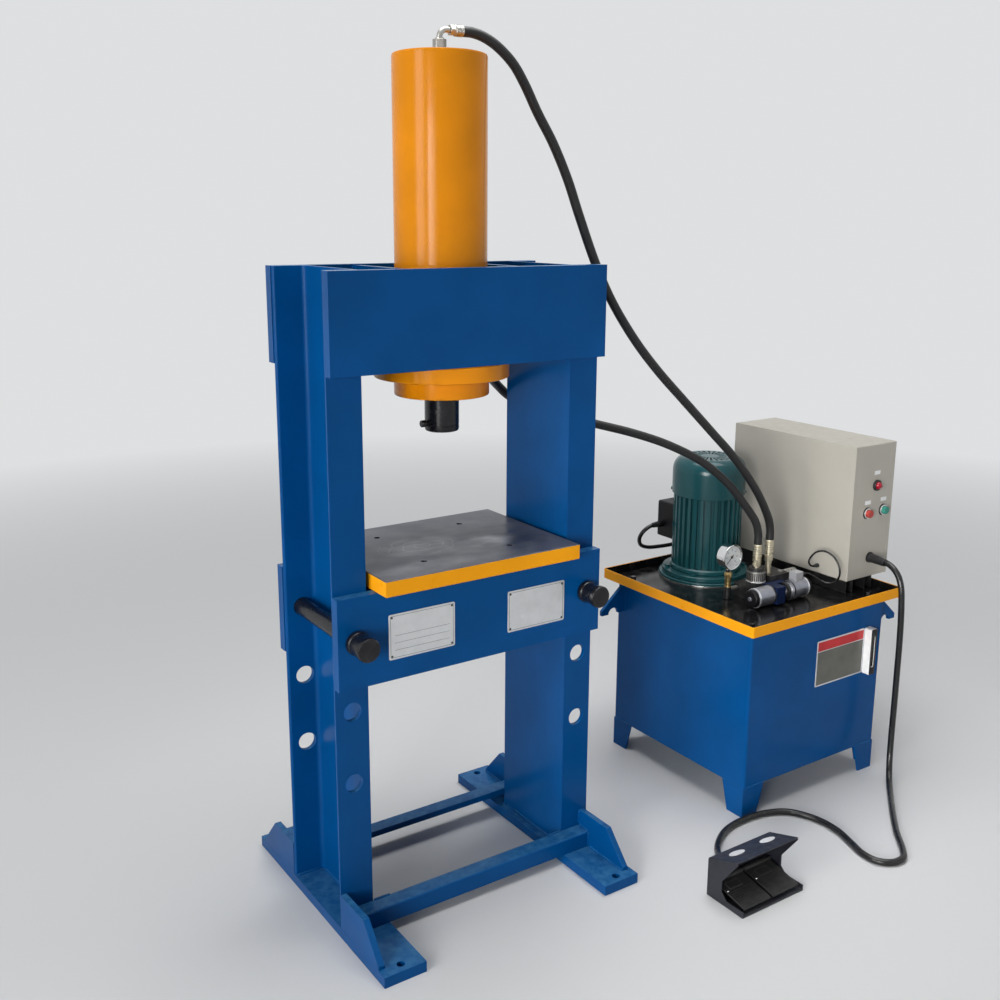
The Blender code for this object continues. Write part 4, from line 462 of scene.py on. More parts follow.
def hexagon(flats, low, high, chamfer=0.0008):
    """A hexagon bar along Z, measured across its flats, with eased corners."""
    shape = bmesh.new()
    bmesh.ops.create_circle(shape, cap_ends=True, radius=flats / math.sqrt(3), segments=6)
    bmesh.ops.translate(shape, vec=(0, 0, low), verts=shape.verts)
    grown = bmesh.ops.extrude_face_region(shape, geom=list(shape.faces))
    top = [item for item in grown["geom"] if isinstance(item, bmesh.types.BMVert)]
    bmesh.ops.translate(shape, vec=(0, 0, high - low), verts=top)
    bmesh.ops.recalc_face_normals(shape, faces=shape.faces)
    return eased(shape, chamfer, 1)


def dyed(shape, index, rule=None):
    """Give faces one of the piece's finishes: all of them, or those that a rule picks."""
    shape.faces.ensure_lookup_table()
    for face in shape.faces:
        if rule is None or rule(face.calc_center_median(), face.normal):
            face.material_index = index
    return shape


def gathered(*shapes):
    """Put several shapes into one."""
    whole = bmesh.new()
    for shape in shapes:
        holder = bpy.data.meshes.new("holder")
        shape.to_mesh(holder)
        shape.free()
        whole.from_mesh(holder)
        bpy.data.meshes.remove(holder)
    return whole


def finished(name, shape, finishes, body, nodes=(), smooth=36):
    """Turn a shape into a piece that rides on a body, and hide the CAD nodes that it stands for."""
    mesh = bpy.data.meshes.new(name)
    shape.to_mesh(mesh)
    shape.free()
    for finish in finishes if isinstance(finishes, (list, tuple)) else [finishes]:
        mesh.materials.append(finish)
    mesh.shade_smooth()
    mesh.set_sharp_from_angle(angle=math.radians(smooth))
    made = bpy.data.objects.new(name, mesh)
    bpy.context.scene.collection.objects.link(made)
    even = made.modifiers.new("even_shading", "WEIGHTED_NORMAL")
    even.keep_sharp = True
    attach(made, body)
    if nodes:
        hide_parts(*nodes)
    return made


# %% [markdown]
# Many CAD nodes already have the right form and only need their edges eased and their flats made whole.
# Their meshes stay untouched: a copy is merged, its flat triangles are dissolved, and its edges get a small bevel.

# %% Eased copies of CAD nodes
def copy_of(node, split=False):
    """A merged copy of a CAD node. Where its flats have narrow rims, they are split into convex faces."""
    shape = bmesh.new()
    shape.from_mesh(frame["nodes"][node].data)
    bmesh.ops.remove_doubles(shape, verts=shape.verts, dist=merge_reach)
    bmesh.ops.dissolve_limit(
        shape, angle_limit=math.radians(0.7), verts=shape.verts, edges=shape.edges, use_dissolve_boundaries=False,
    )
    if split:
        bmesh.ops.connect_verts_concave(shape, faces=shape.faces)
    for face in shape.faces:
        face.material_index = 0
    return shape


def dressed(node, finishes, edge=0.0008, segments=2, rules=(), degrees=38, split=False):
    """Dress one CAD node: eased copy, its finishes, and rules that pick faces for the second finish and on."""
    shape = copy_of(node, split)
    for index, rule in enumerate(rules):
        dyed(shape, index + 1, rule)
    if edge:
        eased(shape, edge, segments, degrees)
        dyed(shape, 0)
        for index, rule in enumerate(rules):
            dyed(shape, index + 1, rule)
    return finished(f"{node}_dressed", shape, finishes, body_of[node], [node])


# %% [markdown]
# ## Hoses and cables
#
# Hoses and cables come first, since they reach furthest from the machine. Each one is a single curve through
# measured points, straight for one diameter at both ends where its ferrule or gland holds it.
# A Catmull-Rom curve passes through every point and bends evenly between them.

# %% A smooth route
def smooth_route(points, spacing):
    """Centripetal Catmull-Rom curve from the second point to the last but one, read off at an even spacing."""
    path = [Vector(point) for point in points]
    dense = [path[1]]
    for index in range(1, len(path) - 2):
        p0, p1, p2, p3 = path[index - 1:index + 3]
        t1 = (p1 - p0).length ** 0.5
        t2 = t1 + (p2 - p1).length ** 0.5
        t3 = t2 + (p3 - p2).length ** 0.5
        for step in range(1, 25):
            t = t1 + (t2 - t1) * step / 24
            a1 = p0 * ((t1 - t) / t1) + p1 * (t / t1)
            a2 = p1 * ((t2 - t) / (t2 - t1)) + p2 * ((t - t1) / (t2 - t1))
            a3 = p2 * ((t3 - t) / (t3 - t2)) + p3 * ((t - t2) / (t3 - t2))
            b1 = a1 * ((t2 - t) / t2) + a2 * (t / t2)
            b2 = a2 * ((t3 - t) / (t3 - t1)) + a3 * ((t - t1) / (t3 - t1))
            dense.append(b1 * ((t2 - t) / (t2 - t1)) + b2 * ((t - t1) / (t2 - t1)))
    reach = [0.0]
    for before, after in zip(dense, dense[1:]):
        reach.append(reach[-1] + (after - before).length)
    count = max(2, math.ceil(reach[-1] / spacing))
    even, index = [], 0
    for step in range(count + 1):
        goal = reach[-1] * step / count
        while index < len(dense) - 2 and reach[index + 1] < goal:
            index += 1
        even.append(dense[index].lerp(dense[index + 1], (goal - reach[index]) / (reach[index + 1] - reach[index])))
    return even


def flexible(name, route, ends, radius, finish):
    (start, leaves), (stop, arrives) = ends
    near = start + Vector(leaves) * radius * 2
    far = stop + Vector(arrives) * radius * 2
    inner = smooth_route([start, near, *[at(*point) for point in route], far, stop], radius * 0.8)
    points = [start, *inner, stop]
    curve = bpy.data.curves.new(f"{name}_line", "CURVE")
    curve.dimensions = "3D"
    curve.resolution_u = 1
    curve.render_resolution_u = 1
    curve.bevel_depth = radius
    curve.bevel_resolution = 5
    curve.use_fill_caps = True
    spline = curve.splines.new("POLY")
    spline.points.add(len(points) - 1)
    for spot, point in zip(spline.points, points):
        spot.co = (*point, 1)
    spline.use_smooth = True
    curve.materials.append(finish)
    made = bpy.data.objects.new(f"{name}_dressed", curve)
    bpy.context.scene.collection.objects.link(made)
    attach(made, "frame")
    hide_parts(name)
    return made


# %% [markdown]
# The two pressure hoses run from the cylinder to the valve block. They are stiff and hold themselves in wide arcs.

# %% Pressure hoses
hose_radius = 0.011
side_port_turn = math.radians(28)
side_way = (math.cos(side_port_turn), math.sin(side_port_turn), 0)
touch = 0.0003
side_end = 0.1055 + touch + 0.018 + 0.036 + touch
upper_hose_ends = (
    (at(0.056 + touch, 0, 1.926), (1, 0, 0)),
    (at(1.003, -0.078, 0.6860 + touch), (0, 0, 1)),
)
lower_hose_ends = (
    (at(side_way[0] * side_end, side_way[1] * side_end, 1.184), side_way),
    (at(0.957, -0.078, 0.680 + touch), (0, 0, 1)),
)
upper_hose_route = [
    (0.104, -0.004, 1.920), (0.136, -0.010, 1.903), (0.175, -0.015, 1.870), (0.204, -0.017, 1.831),
    (0.239, -0.020, 1.771), (0.279, -0.024, 1.709), (0.320, -0.027, 1.631), (0.353, -0.030, 1.551),
    (0.402, -0.034, 1.441), (0.448, -0.038, 1.357), (0.519, -0.044, 1.260), (0.592, -0.050, 1.180),
    (0.679, -0.058, 1.097), (0.770, -0.065, 1.012), (0.861, -0.073, 0.925), (0.940, -0.078, 0.831),
    (0.984, -0.078, 0.764), (0.998, -0.078, 0.734),
]
lower_hose_route = [
    (0.183, 0.099, 1.181), (0.210, 0.117, 1.168), (0.240, 0.134, 1.147), (0.282, 0.146, 1.116),
    (0.340, 0.147, 1.089), (0.420, 0.126, 1.060), (0.508, 0.087, 1.033), (0.610, 0.049, 1.003),
    (0.701, 0.015, 0.968), (0.793, -0.020, 0.917), (0.862, -0.045, 0.857), (0.918, -0.065, 0.787),
    (0.947, -0.076, 0.740),
]
upper_hose = flexible("upper_hose", upper_hose_route, upper_hose_ends, hose_radius, hose_rubber)
lower_hose = flexible("lower_hose", lower_hose_route, lower_hose_ends, hose_radius, hose_rubber)

# %% [markdown]
# The foot switch hangs on a thick rubber cable that drops from the cabinet to the floor and turns back on itself.
# The motor cable makes a loop beside the terminal box, and a thin lead loops in front of the cabinet.

# %% Cables
pedal_cable_ends = (
    (at(1.277, -0.228 - touch, 0.621), (0, -1, 0)),
    (at(0.552, -0.437 + touch, 0.032), (0, 1, 0)),
)
pedal_cable_route = [
    (1.276, -0.276, 0.614), (1.274, -0.301, 0.595), (1.272, -0.315, 0.567), (1.271, -0.322, 0.520),
    (1.273, -0.325, 0.420), (1.277, -0.323, 0.320), (1.279, -0.322, 0.220), (1.276, -0.324, 0.120),
    (1.264, -0.334, 0.054), (1.238, -0.356, 0.018), (1.203, -0.386, 0.0088), (1.110, -0.465, 0.0088),
    (1.034, -0.535, 0.0088), (0.978, -0.595, 0.0088), (0.947, -0.618, 0.0088), (0.909, -0.616, 0.0088),
    (0.883, -0.590, 0.0088), (0.880, -0.552, 0.0088), (0.897, -0.500, 0.0088), (0.914, -0.445, 0.0088),
    (0.914, -0.378, 0.0088), (0.880, -0.309, 0.0088), (0.820, -0.279, 0.0088), (0.742, -0.272, 0.0088),
    (0.676, -0.283, 0.0088), (0.629, -0.307, 0.0088), (0.592, -0.337, 0.010), (0.566, -0.372, 0.016),
    (0.555, -0.402, 0.027),
]
motor_cable_ends = (
    (at(0.927 - touch, 0.2925, 0.655), (-1, 0, 0)),
    (at(1.173 - touch, 0.215, 0.612), (-1, 0, 0)),
)
motor_cable_route = [
    (0.896, 0.2945, 0.652), (0.878, 0.301, 0.638), (0.872, 0.310, 0.617), (0.882, 0.317, 0.594),
    (0.912, 0.319, 0.580), (0.960, 0.312, 0.577), (1.015, 0.299, 0.580), (1.062, 0.279, 0.586),
    (1.098, 0.250, 0.597), (1.130, 0.228, 0.605),
]
valve_cable_ends = (
    (at(1.0813 + touch, -0.1328, 0.587), (1, 0, 0)),
    (at(1.180 - touch, -0.096, 0.585), (-1, 0, 0)),
)
valve_cable_route = [
    (1.103, -0.1333, 0.5855), (1.122, -0.1365, 0.576), (1.140, -0.147, 0.563), (1.154, -0.165, 0.557),
    (1.161, -0.185, 0.566), (1.163, -0.194, 0.586), (1.163, -0.190, 0.611), (1.161, -0.173, 0.633),
    (1.158, -0.145, 0.643), (1.154, -0.117, 0.635), (1.149, -0.100, 0.614), (1.151, -0.095, 0.599),
    (1.161, -0.0955, 0.588),
]
pedal_cable = flexible("pedal_cable", pedal_cable_route, pedal_cable_ends, 0.0085, cable_rubber)
motor_cable = flexible("motor_cable", motor_cable_route, motor_cable_ends, 0.006, cable_rubber)
valve_cable = flexible("valve_cable", valve_cable_route, valve_cable_ends, 0.00275, cable_rubber)

# %% [markdown]
# ## The press frame
#
# Columns are rolled channels, crown and bed are thick plates with ribs, and the feet are flat bars with gussets.
# All of it is flame cut and welded, so the edges are eased by about a millimetre under the paint.

# %% Columns, crown, bed, feet and ties
for node in ("left_column", "right_column", "front_tie", "rear_tie"):
    dressed(node, blue_enamel, 0.001)
for node in ("crown", "bed", "left_foot", "right_foot"):
    dressed(node, blue_enamel, 0.0016, split=node == "left_foot")
print("frame dressed")

# %% [markdown]
# A weld bead is a row of overlapping ripples laid in the corner between two plates. It starts as a thin cylinder
# that is cut into short rings, and each ring is made a little thicker or thinner in turn, with some unevenness.

# %% Weld beads
def weld_bead(start, stop, size=0.006):
    """One run of weld from start to stop."""
    start, stop = Vector(start), Vector(stop)
    length = (stop - start).length
    rows = max(6, round(length / (size * 0.4)))
    shape = bmesh.new()
    bmesh.ops.create_cone(
        shape, cap_ends=True, segments=8, radius1=size * 0.6, radius2=size * 0.6, depth=length,
    )
    along = [edge for edge in shape.edges if abs(edge.verts[0].co.z - edge.verts[1].co.z) > length / 2]
    bmesh.ops.subdivide_edges(shape, edges=along, cuts=rows - 1, use_grid_fill=False)
    for vert in shape.verts:
        row = round((vert.co.z / length + 0.5) * rows)
        swell = 1.0 + 0.14 * math.sin(row * 2.1) + 0.12 * noise.noise(vert.co * 90 + start * 7)
        if row in (0, rows):
            swell = 0.45
        vert.co.x *= swell
        vert.co.y *= swell
    return put(shape, (start + stop) / 2, stop - start)


def weld_seam(name, runs, size=0.006):
    """Several runs as one painted piece."""
    beads = [weld_bead(at(*start), at(*stop), size) for start, stop in runs]
    return finished(name, gathered(*beads), blue_enamel, "frame", smooth=80)


web_x, tip_x, flange_y, foot_top = 0.2616, 0.3396, 0.125, 0.0253
runs = []
for side in (-1, 1):
    x_in, x_web, x_out = side * web_x, side * (web_x + 0.008), side * tip_x
    runs.append(((x_in, -flange_y, foot_top), (x_in, flange_y, foot_top)))
    runs.append(((x_web, -flange_y + 0.02, foot_top), (x_web, flange_y - 0.02, foot_top)))
    for end in (-1, 1):
        runs.append(((x_web + side * 0.01, end * (flange_y - 0.012), foot_top), (x_out - side * 0.004, end * (flange_y - 0.011), foot_top)))
weld_seam("column_welds", runs)

gusset_faces = ((-0.341, -0.326), (0.3165, 0.3315))
runs = []
for low, high in gusset_faces:
    for end in (-1, 1):
        for x in (low, high):
            if abs(x) < 0.34:
                runs.append(((x, end * 0.172, 0.0252), (x, end * 0.296, 0.0252)))
                runs.append(((x, end * 0.1265, 0.07), (x, end * 0.1265, 0.104)))
weld_seam("gusset_welds", runs, 0.0055)

runs = []
for end in (-1, 1):
    for x in (-0.3257, 0.3162):
        runs.append(((x, end * 0.128, 0.0652), (x, end * 0.163, 0.0652)))
        runs.append(((x, end * 0.166, 0.028), (x, end * 0.166, 0.062)))
    for x in (-0.24, 0.24):
        runs.append(((x - 0.02, end * 0.1262, 0.0652), (x + 0.02, end * 0.1262, 0.0652)))
weld_seam("tie_welds", runs, 0.005)

runs = []
for x in (-0.141, 0.141):
    for side in (-1, 1):
        for end in (-1, 1):
            runs.append(((x + side * 0.008, end * 0.1248, 1.25), (x + side * 0.008, end * 0.1248, 1.44)))
for x in (-0.226, -0.080, 0.080, 0.226):
    for side in (-1, 1):
        for end in (-1, 1):
            runs.append(((x + side * 0.008, end * 0.1248, 0.592), (x + side * 0.008, end * 0.1248, 0.782)))
weld_seam("rib_welds", runs, 0.005)
print("welds laid")

# %% [markdown]
# ## The cylinder
#
# The barrel, the mounting ring and the gland ring are turned parts, so each is a profile spun about the axis.
# A fine step count keeps the long highlight on the barrel clean.

# %% Barrel, rings and ram
axis_place = at(0, 0, 0)
barrel_low, barrel_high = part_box("cylinder_barrel")
barrel_radius = (barrel_high.x - barrel_low.x) / 2
barrel = spun([
    (0, barrel_high.z), (barrel_radius - 0.006, barrel_high.z), (barrel_radius - 0.0018, barrel_high.z - 0.0018),
    (barrel_radius, barrel_high.z - 0.006), (barrel_radius, barrel_low.z), (0.0802, barrel_low.z),
    (0.0802, barrel_high.z - 0.04), (0, barrel_high.z - 0.04),
], 96)
finished("barrel", put(barrel, axis_place), orange_enamel, "frame", ["cylinder_barrel"])

ring_low, ring_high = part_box("mounting_ring")
mount = spun([
    (barrel_radius + touch, ring_high.z), (0.147, ring_high.z), (0.150, ring_high.z - 0.003),
    (0.150, ring_low.z + 0.003), (0.149, ring_low.z + 0.001), (0.147, ring_low.z), (barrel_radius + touch, ring_low.z),
], 96, closed=True)
finished("mounting_ring_turned", put(mount, axis_place), orange_enamel, "frame", ["mounting_ring"])

gland_low, gland_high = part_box("gland_ring")
gland_face = ring_low.z - touch
gland = spun([
    (0.0353, gland_high.z), (0.0797, gland_high.z), (0.0797, gland_face), (0.1035, gland_face),
    (0.1055, gland_face - 0.002), (0.1055, gland_low.z + 0.003), (0.1045, gland_low.z + 0.001),
    (0.1025, gland_low.z), (0.052, gland_low.z), (0.050, gland_low.z + 0.002), (0.0385, gland_low.z + 0.002),
    (0.0365, gland_low.z), (0.0353, gland_low.z),
], 96, closed=True)
finished("gland_ring_turned", put(gland, axis_place), orange_enamel, "frame", ["gland_ring"])

dressed("ram", chrome, 0.0006)
head_low, head_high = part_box("ram_head")
head = spun([
    (0.0223, head_high.z), (0.0370, head_high.z), (0.0385, head_high.z - 0.0015), (0.0385, head_low.z + 0.016),
    (0.0378, head_low.z + 0.0152), (0.0378, head_low.z + 0.0138), (0.0385, head_low.z + 0.013),
    (0.0385, head_low.z + 0.006), (0.0372, head_low.z + 0.0018), (0.0335, head_low.z), (0, head_low.z),
    (0, head_low.z + 0.014), (0.0223, head_low.z + 0.014),
], 72, closed=True)
finished("ram_head_turned", put(head, axis_place), pin_black, "ram", ["ram_head"])
dressed("set_screw", pin_black, 0.0004)
print("cylinder turned: barrel radius", round(barrel_radius, 4))

# %% [markdown]
# Both pins carry a head with a wide waist, turned so that a hand can pull it. The shank shows behind the plate.

# %% Height pins
def height_pin(node):
    """One turned pin along the y axis."""
    low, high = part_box(node)
    head_end, tail_end = -low.y, -high.y
    neck = 0.1506 - press_middle.y
    profile = [
        (0, head_end), (0.0215, head_end), (0.0245, head_end - 0.0012), (0.026, head_end - 0.004),
        (0.026, head_end - 0.0125), (0.0252, head_end - 0.0140), (0.0238, head_end - 0.0160),
        (0.0236, head_end - 0.018), (0.0236, neck + 0.018), (0.0238, neck + 0.0160), (0.0252, neck + 0.0140),
        (0.026, neck + 0.0125), (0.026, neck + 0.003), (0.0245, neck + 0.0008), (0.0225, neck), (0.020, neck),
        (0.020, tail_end + 0.003), (0.017, tail_end), (0, tail_end),
    ]
    place = Vector(((low.x + high.x) / 2, 0, (low.z + high.z) / 2))
    return finished(f"{node}_turned", put(spun(profile, 56), place, "-y"), pin_black, node, [node])


height_pin("left_pin")
height_pin("right_pin")

# %% [markdown]
# ## Table and plates
#
# The table's top face is bare and its edges are painted. A rule picks the faces that look up.
# The two aluminium plates on the bed are bare, each with a pressed border and four drive screws.

# %% Table
table_middle = middle_of("table")


def is_table_top(centre, normal):
    """Faces of the milled top, the walls of the tapped holes among them."""
    inside_hole = math.hypot(abs(centre.x - table_middle.x) - 0.112, abs(centre.y - table_middle.y) - 0.108) < 0.012
    return normal.z > 0.5 or inside_hole


dressed("table", [yellow_edge, table_top_steel], 0.0008, rules=[is_table_top])


# %% Plates on the bed
def drive_screw(place, radius=0.0026, axis="-y"):
    """A small domed head that stands on its plate."""
    profile = [(0, radius * 0.55), (radius * 0.55, radius * 0.45), (radius * 0.88, radius * 0.2), (radius, 0),
               (radius, -0.0004), (0, -0.0004)]
    return put(spun(profile, 16), place, axis)


def border(low, high, front, inset, width, proud):
    """A thin raised frame on a plate that faces -Y."""
    x0, z0, x1, z1 = low.x + inset, low.z + inset, high.x - inset, high.z - inset
    bars = [
        block((x0, front - proud, z0), (x1, front, z0 + width)),
        block((x0, front - proud, z1 - width), (x1, front, z1)),
        block((x0, front - proud, z0 + width), (x0 + width, front, z1 - width)),
        block((x1 - width, front - proud, z0 + width), (x1, front, z1 - width)),
    ]
    return gathered(*bars)


def bare_plate(node, lines=()):
    """A blank metal plate with its border, ruled lines and four screws."""
    low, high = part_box(node)
    dressed(node, plate_aluminium, 0.0003)
    frame_line = dyed(border(low, high, low.y, 0.004, 0.0007, 0.00012), 0)
    rules = [block((low.x + 0.014, low.y - 0.00012, low.z + (high.z - low.z) * share),
                   (high.x - 0.014, low.y, low.z + (high.z - low.z) * share + 0.0006)) for share in lines]
    finished(f"{node}_lines", gathered(frame_line, *rules), dial_ink, "frame")
    corners = [Vector((x, low.y, z)) for x in (low.x + 0.0075, high.x - 0.0075) for z in (low.z + 0.0075, high.z - 0.0075)]
    finished(f"{node}_screws", gathered(*[drive_screw(corner) for corner in corners]), black_steel, "frame")


bare_plate("left_nameplate", (0.2, 0.36, 0.52))
bare_plate("right_nameplate")
print("plates screwed on")

# %% [markdown]
# ## Oil connections
#
# Each hose ends in a crimped ferrule: a steel sleeve with pressed bands, next to a hexagon that a spanner turns.

# %% Ferrules and fittings
def crimped(radius, low, high):
    """A ferrule with four pressed bands."""
    length = high - low
    profile = [(0, high), (radius - 0.0012, high), (radius, high - 0.0012)]
    for share in (0.78, 0.60, 0.42, 0.24):
        middle = low + length * share
        profile += [(radius, middle + 0.0022), (radius - 0.0009, middle + 0.001), (radius - 0.0009, middle - 0.001),
                    (radius, middle - 0.0022)]
    profile += [(radius, low + 0.001), (radius - 0.001, low), (0, low)]
    return spun(profile, 40)


def hose_end(node, block_top, ferrule_top):
    """Stem, hexagon and ferrule standing in the valve block."""
    low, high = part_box(node)
    place = Vector(((low.x + high.x) / 2, (low.y + high.y) / 2, 0))
    shape = gathered(
        put(disc(0.0088, low.z, ferrule_top - 0.05, 28), place),
        put(hexagon(0.0215, ferrule_top - 0.060, ferrule_top - 0.040), place),
        put(disc(0.0098, ferrule_top - 0.0405, ferrule_top - 0.037, 28), place),
        put(crimped(0.012, ferrule_top - 0.0375, ferrule_top), place),
    )
    return finished(f"{node}_crimped", shape, yellow_plate, "frame", [node])


hose_end("front_hose_end", 0.563, 0.680)
hose_end("rear_hose_end", 0.590, 0.686)

side_place = at(0, 0, 1.184)
shape = gathered(
    put(disc(0.0072, 0.092, 0.107, 24), side_place, side_way),
    put(hexagon(0.024, 0.1058, 0.1238), side_place, side_way),
    put(crimped(0.012, 0.1235, 0.1598), side_place, side_way),
)
finished("side_fitting_crimped", shape, yellow_plate, "frame", ["side_fitting"])


def bent_pipe(radius, bend, rise, reach):
    """A pipe that comes up along Z and turns to +X: a circle spun about the bend's centre, then drawn straight."""
    shape = bmesh.new()
    bmesh.ops.create_circle(shape, cap_ends=False, radius=radius, segments=24)
    start_rim = list(shape.edges)
    turned = bmesh.ops.spin(
        shape, geom=list(shape.verts) + start_rim, cent=(bend, 0, 0), axis=(0, 1, 0), angle=math.pi / 2, steps=12,
    )
    end_rim = [item for item in turned["geom_last"] if isinstance(item, bmesh.types.BMEdge)]
    for rim, way in ((start_rim, (0, 0, -rise)), (end_rim, (reach, 0, 0))):
        grown = bmesh.ops.extrude_edge_only(shape, edges=rim)
        moved = [item for item in grown["geom"] if isinstance(item, bmesh.types.BMVert)]
        bmesh.ops.translate(shape, vec=way, verts=moved)
    bmesh.ops.holes_fill(shape, edges=[edge for edge in shape.edges if edge.is_boundary], sides=0)
    bmesh.ops.recalc_face_normals(shape, faces=shape.faces)
    return shape


barrel_top = barrel_high.z
pipe_z, bend = 1.926, 0.016
shape = gathered(
    put(disc(0.0072, barrel_top - 0.018, barrel_top + 0.002, 24), axis_place),
    put(hexagon(0.026, barrel_top + touch, barrel_top + 0.029, 0.001), axis_place),
    put(disc(0.0085, barrel_top + 0.0285, barrel_top + 0.0325, 24, 0.0008), axis_place),
    put(bent_pipe(0.0062, bend, pipe_z - bend - barrel_top - 0.0320, 0.009), at(0, 0, pipe_z - bend)),
    put(hexagon(0.020, 0.024, 0.0365), at(0, 0, pipe_z), "x"),
    put(crimped(0.012, 0.036, 0.056), at(0, 0, pipe_z), "x"),
)
finished("top_elbow_crimped", shape, zinc_plate, "frame", ["top_elbow"])
print("fittings in place")

# %% [markdown]
# ## Oil tank
#
# The tank is folded from sheet and welded, with four legs that taper to the floor and a lug on each end to lift it by.
# Its tray is yellow outside and black inside, where oil drips have darkened it.

# %% Tank and tray
tank_low, tank_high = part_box("tank")
tray_low, tray_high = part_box("tray")
tray_wall = 0.003


def is_tray_inside(centre, normal):
    """Faces of the pan, its bolts and the lip's inner side."""
    inside_x = tray_low.x + tray_wall / 2 < centre.x < tray_high.x - tray_wall / 2
    inside_y = tray_low.y + tray_wall / 2 < centre.y < tray_high.y - tray_wall / 2
    on_rim = centre.z > tray_high.z - 0.0005
    to_side_x = min(centre.x - tray_low.x, tray_high.x - centre.x)
    to_side_y = min(centre.y - tray_low.y, tray_high.y - centre.y)
    from_middle = centre - (tray_low + tray_high) / 2
    round_corner = max(to_side_x, to_side_y) < 0.012 and normal.xy.dot(from_middle.xy) > 0
    return inside_x and inside_y and centre.z > tray_low.z + 0.001 and not on_rim and not round_corner


dressed("tank", blue_enamel, 0.0012)
dressed("tray", [yellow_edge, oily_black], 0.0008, rules=[is_tray_inside])

tank_left, tank_right, tank_front, tank_rear = 0.764, 1.289, -0.253, 0.275
runs = []
for x, side, y in ((tank_left, -1, 0.245), (tank_right, 1, -0.223)):
    for offset in (-0.005, 0.005):
        runs.append(((x, y + offset, 0.433), (x, y + offset, 0.509)))
for x in (tank_left, tank_right):
    for y in (tank_front, tank_rear):
        side_x = 1 if x == tank_left else -1
        side_y = 1 if y == tank_front else -1
        runs.append(((x + side_x * 0.008, y, 0.0835), (x + side_x * 0.074, y, 0.0835)))
        runs.append(((x, y + side_y * 0.008, 0.0835), (x, y + side_y * 0.074, 0.0835)))
weld_seam("tank_welds", runs, 0.0035)

# %% [markdown]
# The level gauge is a white block with a dark clear front and two bolts. The label beside it stays bare,
# with a red band over a grey field.

# %% Level gauge and label
level_low, level_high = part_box("level_gauge")
level_x = (level_low.x + level_high.x) / 2


def is_level_front(centre, normal):
    """The face that looks to the operator."""
    return normal.y < -0.5 and centre.y < level_low.y + 0.008


dressed("level_gauge", [white_plastic, black_plastic], 0.0006, rules=[is_level_front])
window = block((level_x - 0.0045, level_low.y + 0.0012, level_low.z + 0.0235), (level_x + 0.0045, level_low.y + 0.003, level_high.z - 0.0235))
finished("level_window", eased(window, 0.0004), oil_glass, "frame")
bolts = [put(hexagon(0.009, 0, 0.004, 0.0005), (level_x, level_low.y, z), "-y") for z in (level_low.z + 0.011, level_high.z - 0.011)]
washers = [put(disc(0.0062, 0, 0.001, 24, 0.0003, 1), (level_x, level_low.y, z), "-y") for z in (level_low.z + 0.011, level_high.z - 0.011)]
finished("level_bolts", gathered(*bolts, *washers), black_steel, "frame")

label_low, label_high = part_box("label_plate")
band_bottom = label_high.z - 0.030
dressed("label_plate", plate_aluminium, 0.0003)
band = block((label_low.x + 0.004, label_low.y - 0.0002, band_bottom), (label_high.x - 0.004, label_low.y, label_high.z - 0.004))
field = block((label_low.x + 0.004, label_low.y - 0.0002, label_low.z + 0.004), (label_high.x - 0.004, label_low.y, band_bottom - 0.002))
finished("label_faces", gathered(dyed(band, 0), dyed(field, 1)), [band_red, field_grey], "frame")
print("tank dressed")

# %% [markdown]
# ## Motor
#
# The finned body and its flange keep the CAD form with eased edges. The fan cowl is pressed sheet: a spun shell
# whose top faces are cut away in slots, then given its thickness.

# %% Motor body, ring and rotor
dressed("motor_ring", motor_green, 0.0008)
ring_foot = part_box("motor_ring")[0]
ring_reach = (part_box("motor_ring")[1].x - ring_foot.x) / 2
rim = spun([(ring_reach - 0.0015, 0.0022), (ring_reach + 0.0004, 0.0022), (ring_reach + 0.0006, 0.0012), (ring_reach + 0.0004, 0.0003),
            (ring_reach - 0.0015, 0.0003)], 96, closed=True)
finished("motor_ring_rim", put(rim, Vector((*middle_of("motor_ring").xy, ring_foot.z))), turned_steel, "frame")
dressed("motor_body", motor_green, 0.0011, 2)
dressed("rotor", black_plastic, 0.0005)
dressed("pump", turned_steel, 0.0006)
dressed("terminal_box", cap_black, 0.0014, 3)

# %% Fan cowl
cowl_low, cowl_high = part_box("fan_cowl")
cowl_place = Vector(((cowl_low.x + cowl_high.x) / 2, (cowl_low.y + cowl_high.y) / 2, 0))
cowl_radius = (cowl_high.x - cowl_low.x) / 2
shoulder_z = cowl_high.z - 0.040
shoulder = cowl_radius - 0.072
profile = [(0, cowl_high.z)] + [(radius, cowl_high.z) for radius in (0.022, 0.026, 0.047, 0.051, 0.066)]
profile += [
    (0.072 + shoulder * math.sin(turn), shoulder_z + 0.040 * math.cos(turn))
    for turn in [math.pi / 2 * step / 8 for step in range(9)]
]
profile.append((cowl_radius, cowl_low.z))
cowl = spun(profile, 144)
slots = [
    face for face in cowl.faces
    if (0.026 < face.calc_center_median().xy.length < 0.047 or 0.051 < face.calc_center_median().xy.length < 0.066)
    and face.calc_center_median().z > cowl_high.z - 0.001
    and round((math.atan2(face.calc_center_median().y, face.calc_center_median().x) % (2 * math.pi)) / (2 * math.pi) * 144 - 0.5) % 6 < 3
]
bmesh.ops.delete(cowl, geom=slots, context="FACES")
cowl_piece = finished("fan_cowl_pressed", put(cowl, cowl_place), motor_green, "frame", ["fan_cowl"])
thick = cowl_piece.modifiers.new("sheet", "SOLIDIFY")
thick.thickness = 0.0025
thick.offset = -1
cowl_piece.modifiers.move(1, 0)
screws = []
for step in range(4):
    turn = math.radians(45 + 90 * step)
    way = Vector((math.cos(turn), math.sin(turn), 0))
    screws.append(put(hexagon(0.008, -0.0005, 0.003, 0.0004), cowl_place + way * cowl_radius + Vector((0, 0, cowl_low.z + 0.006)), way))
finished("cowl_screws", gathered(*screws), motor_green, "frame")
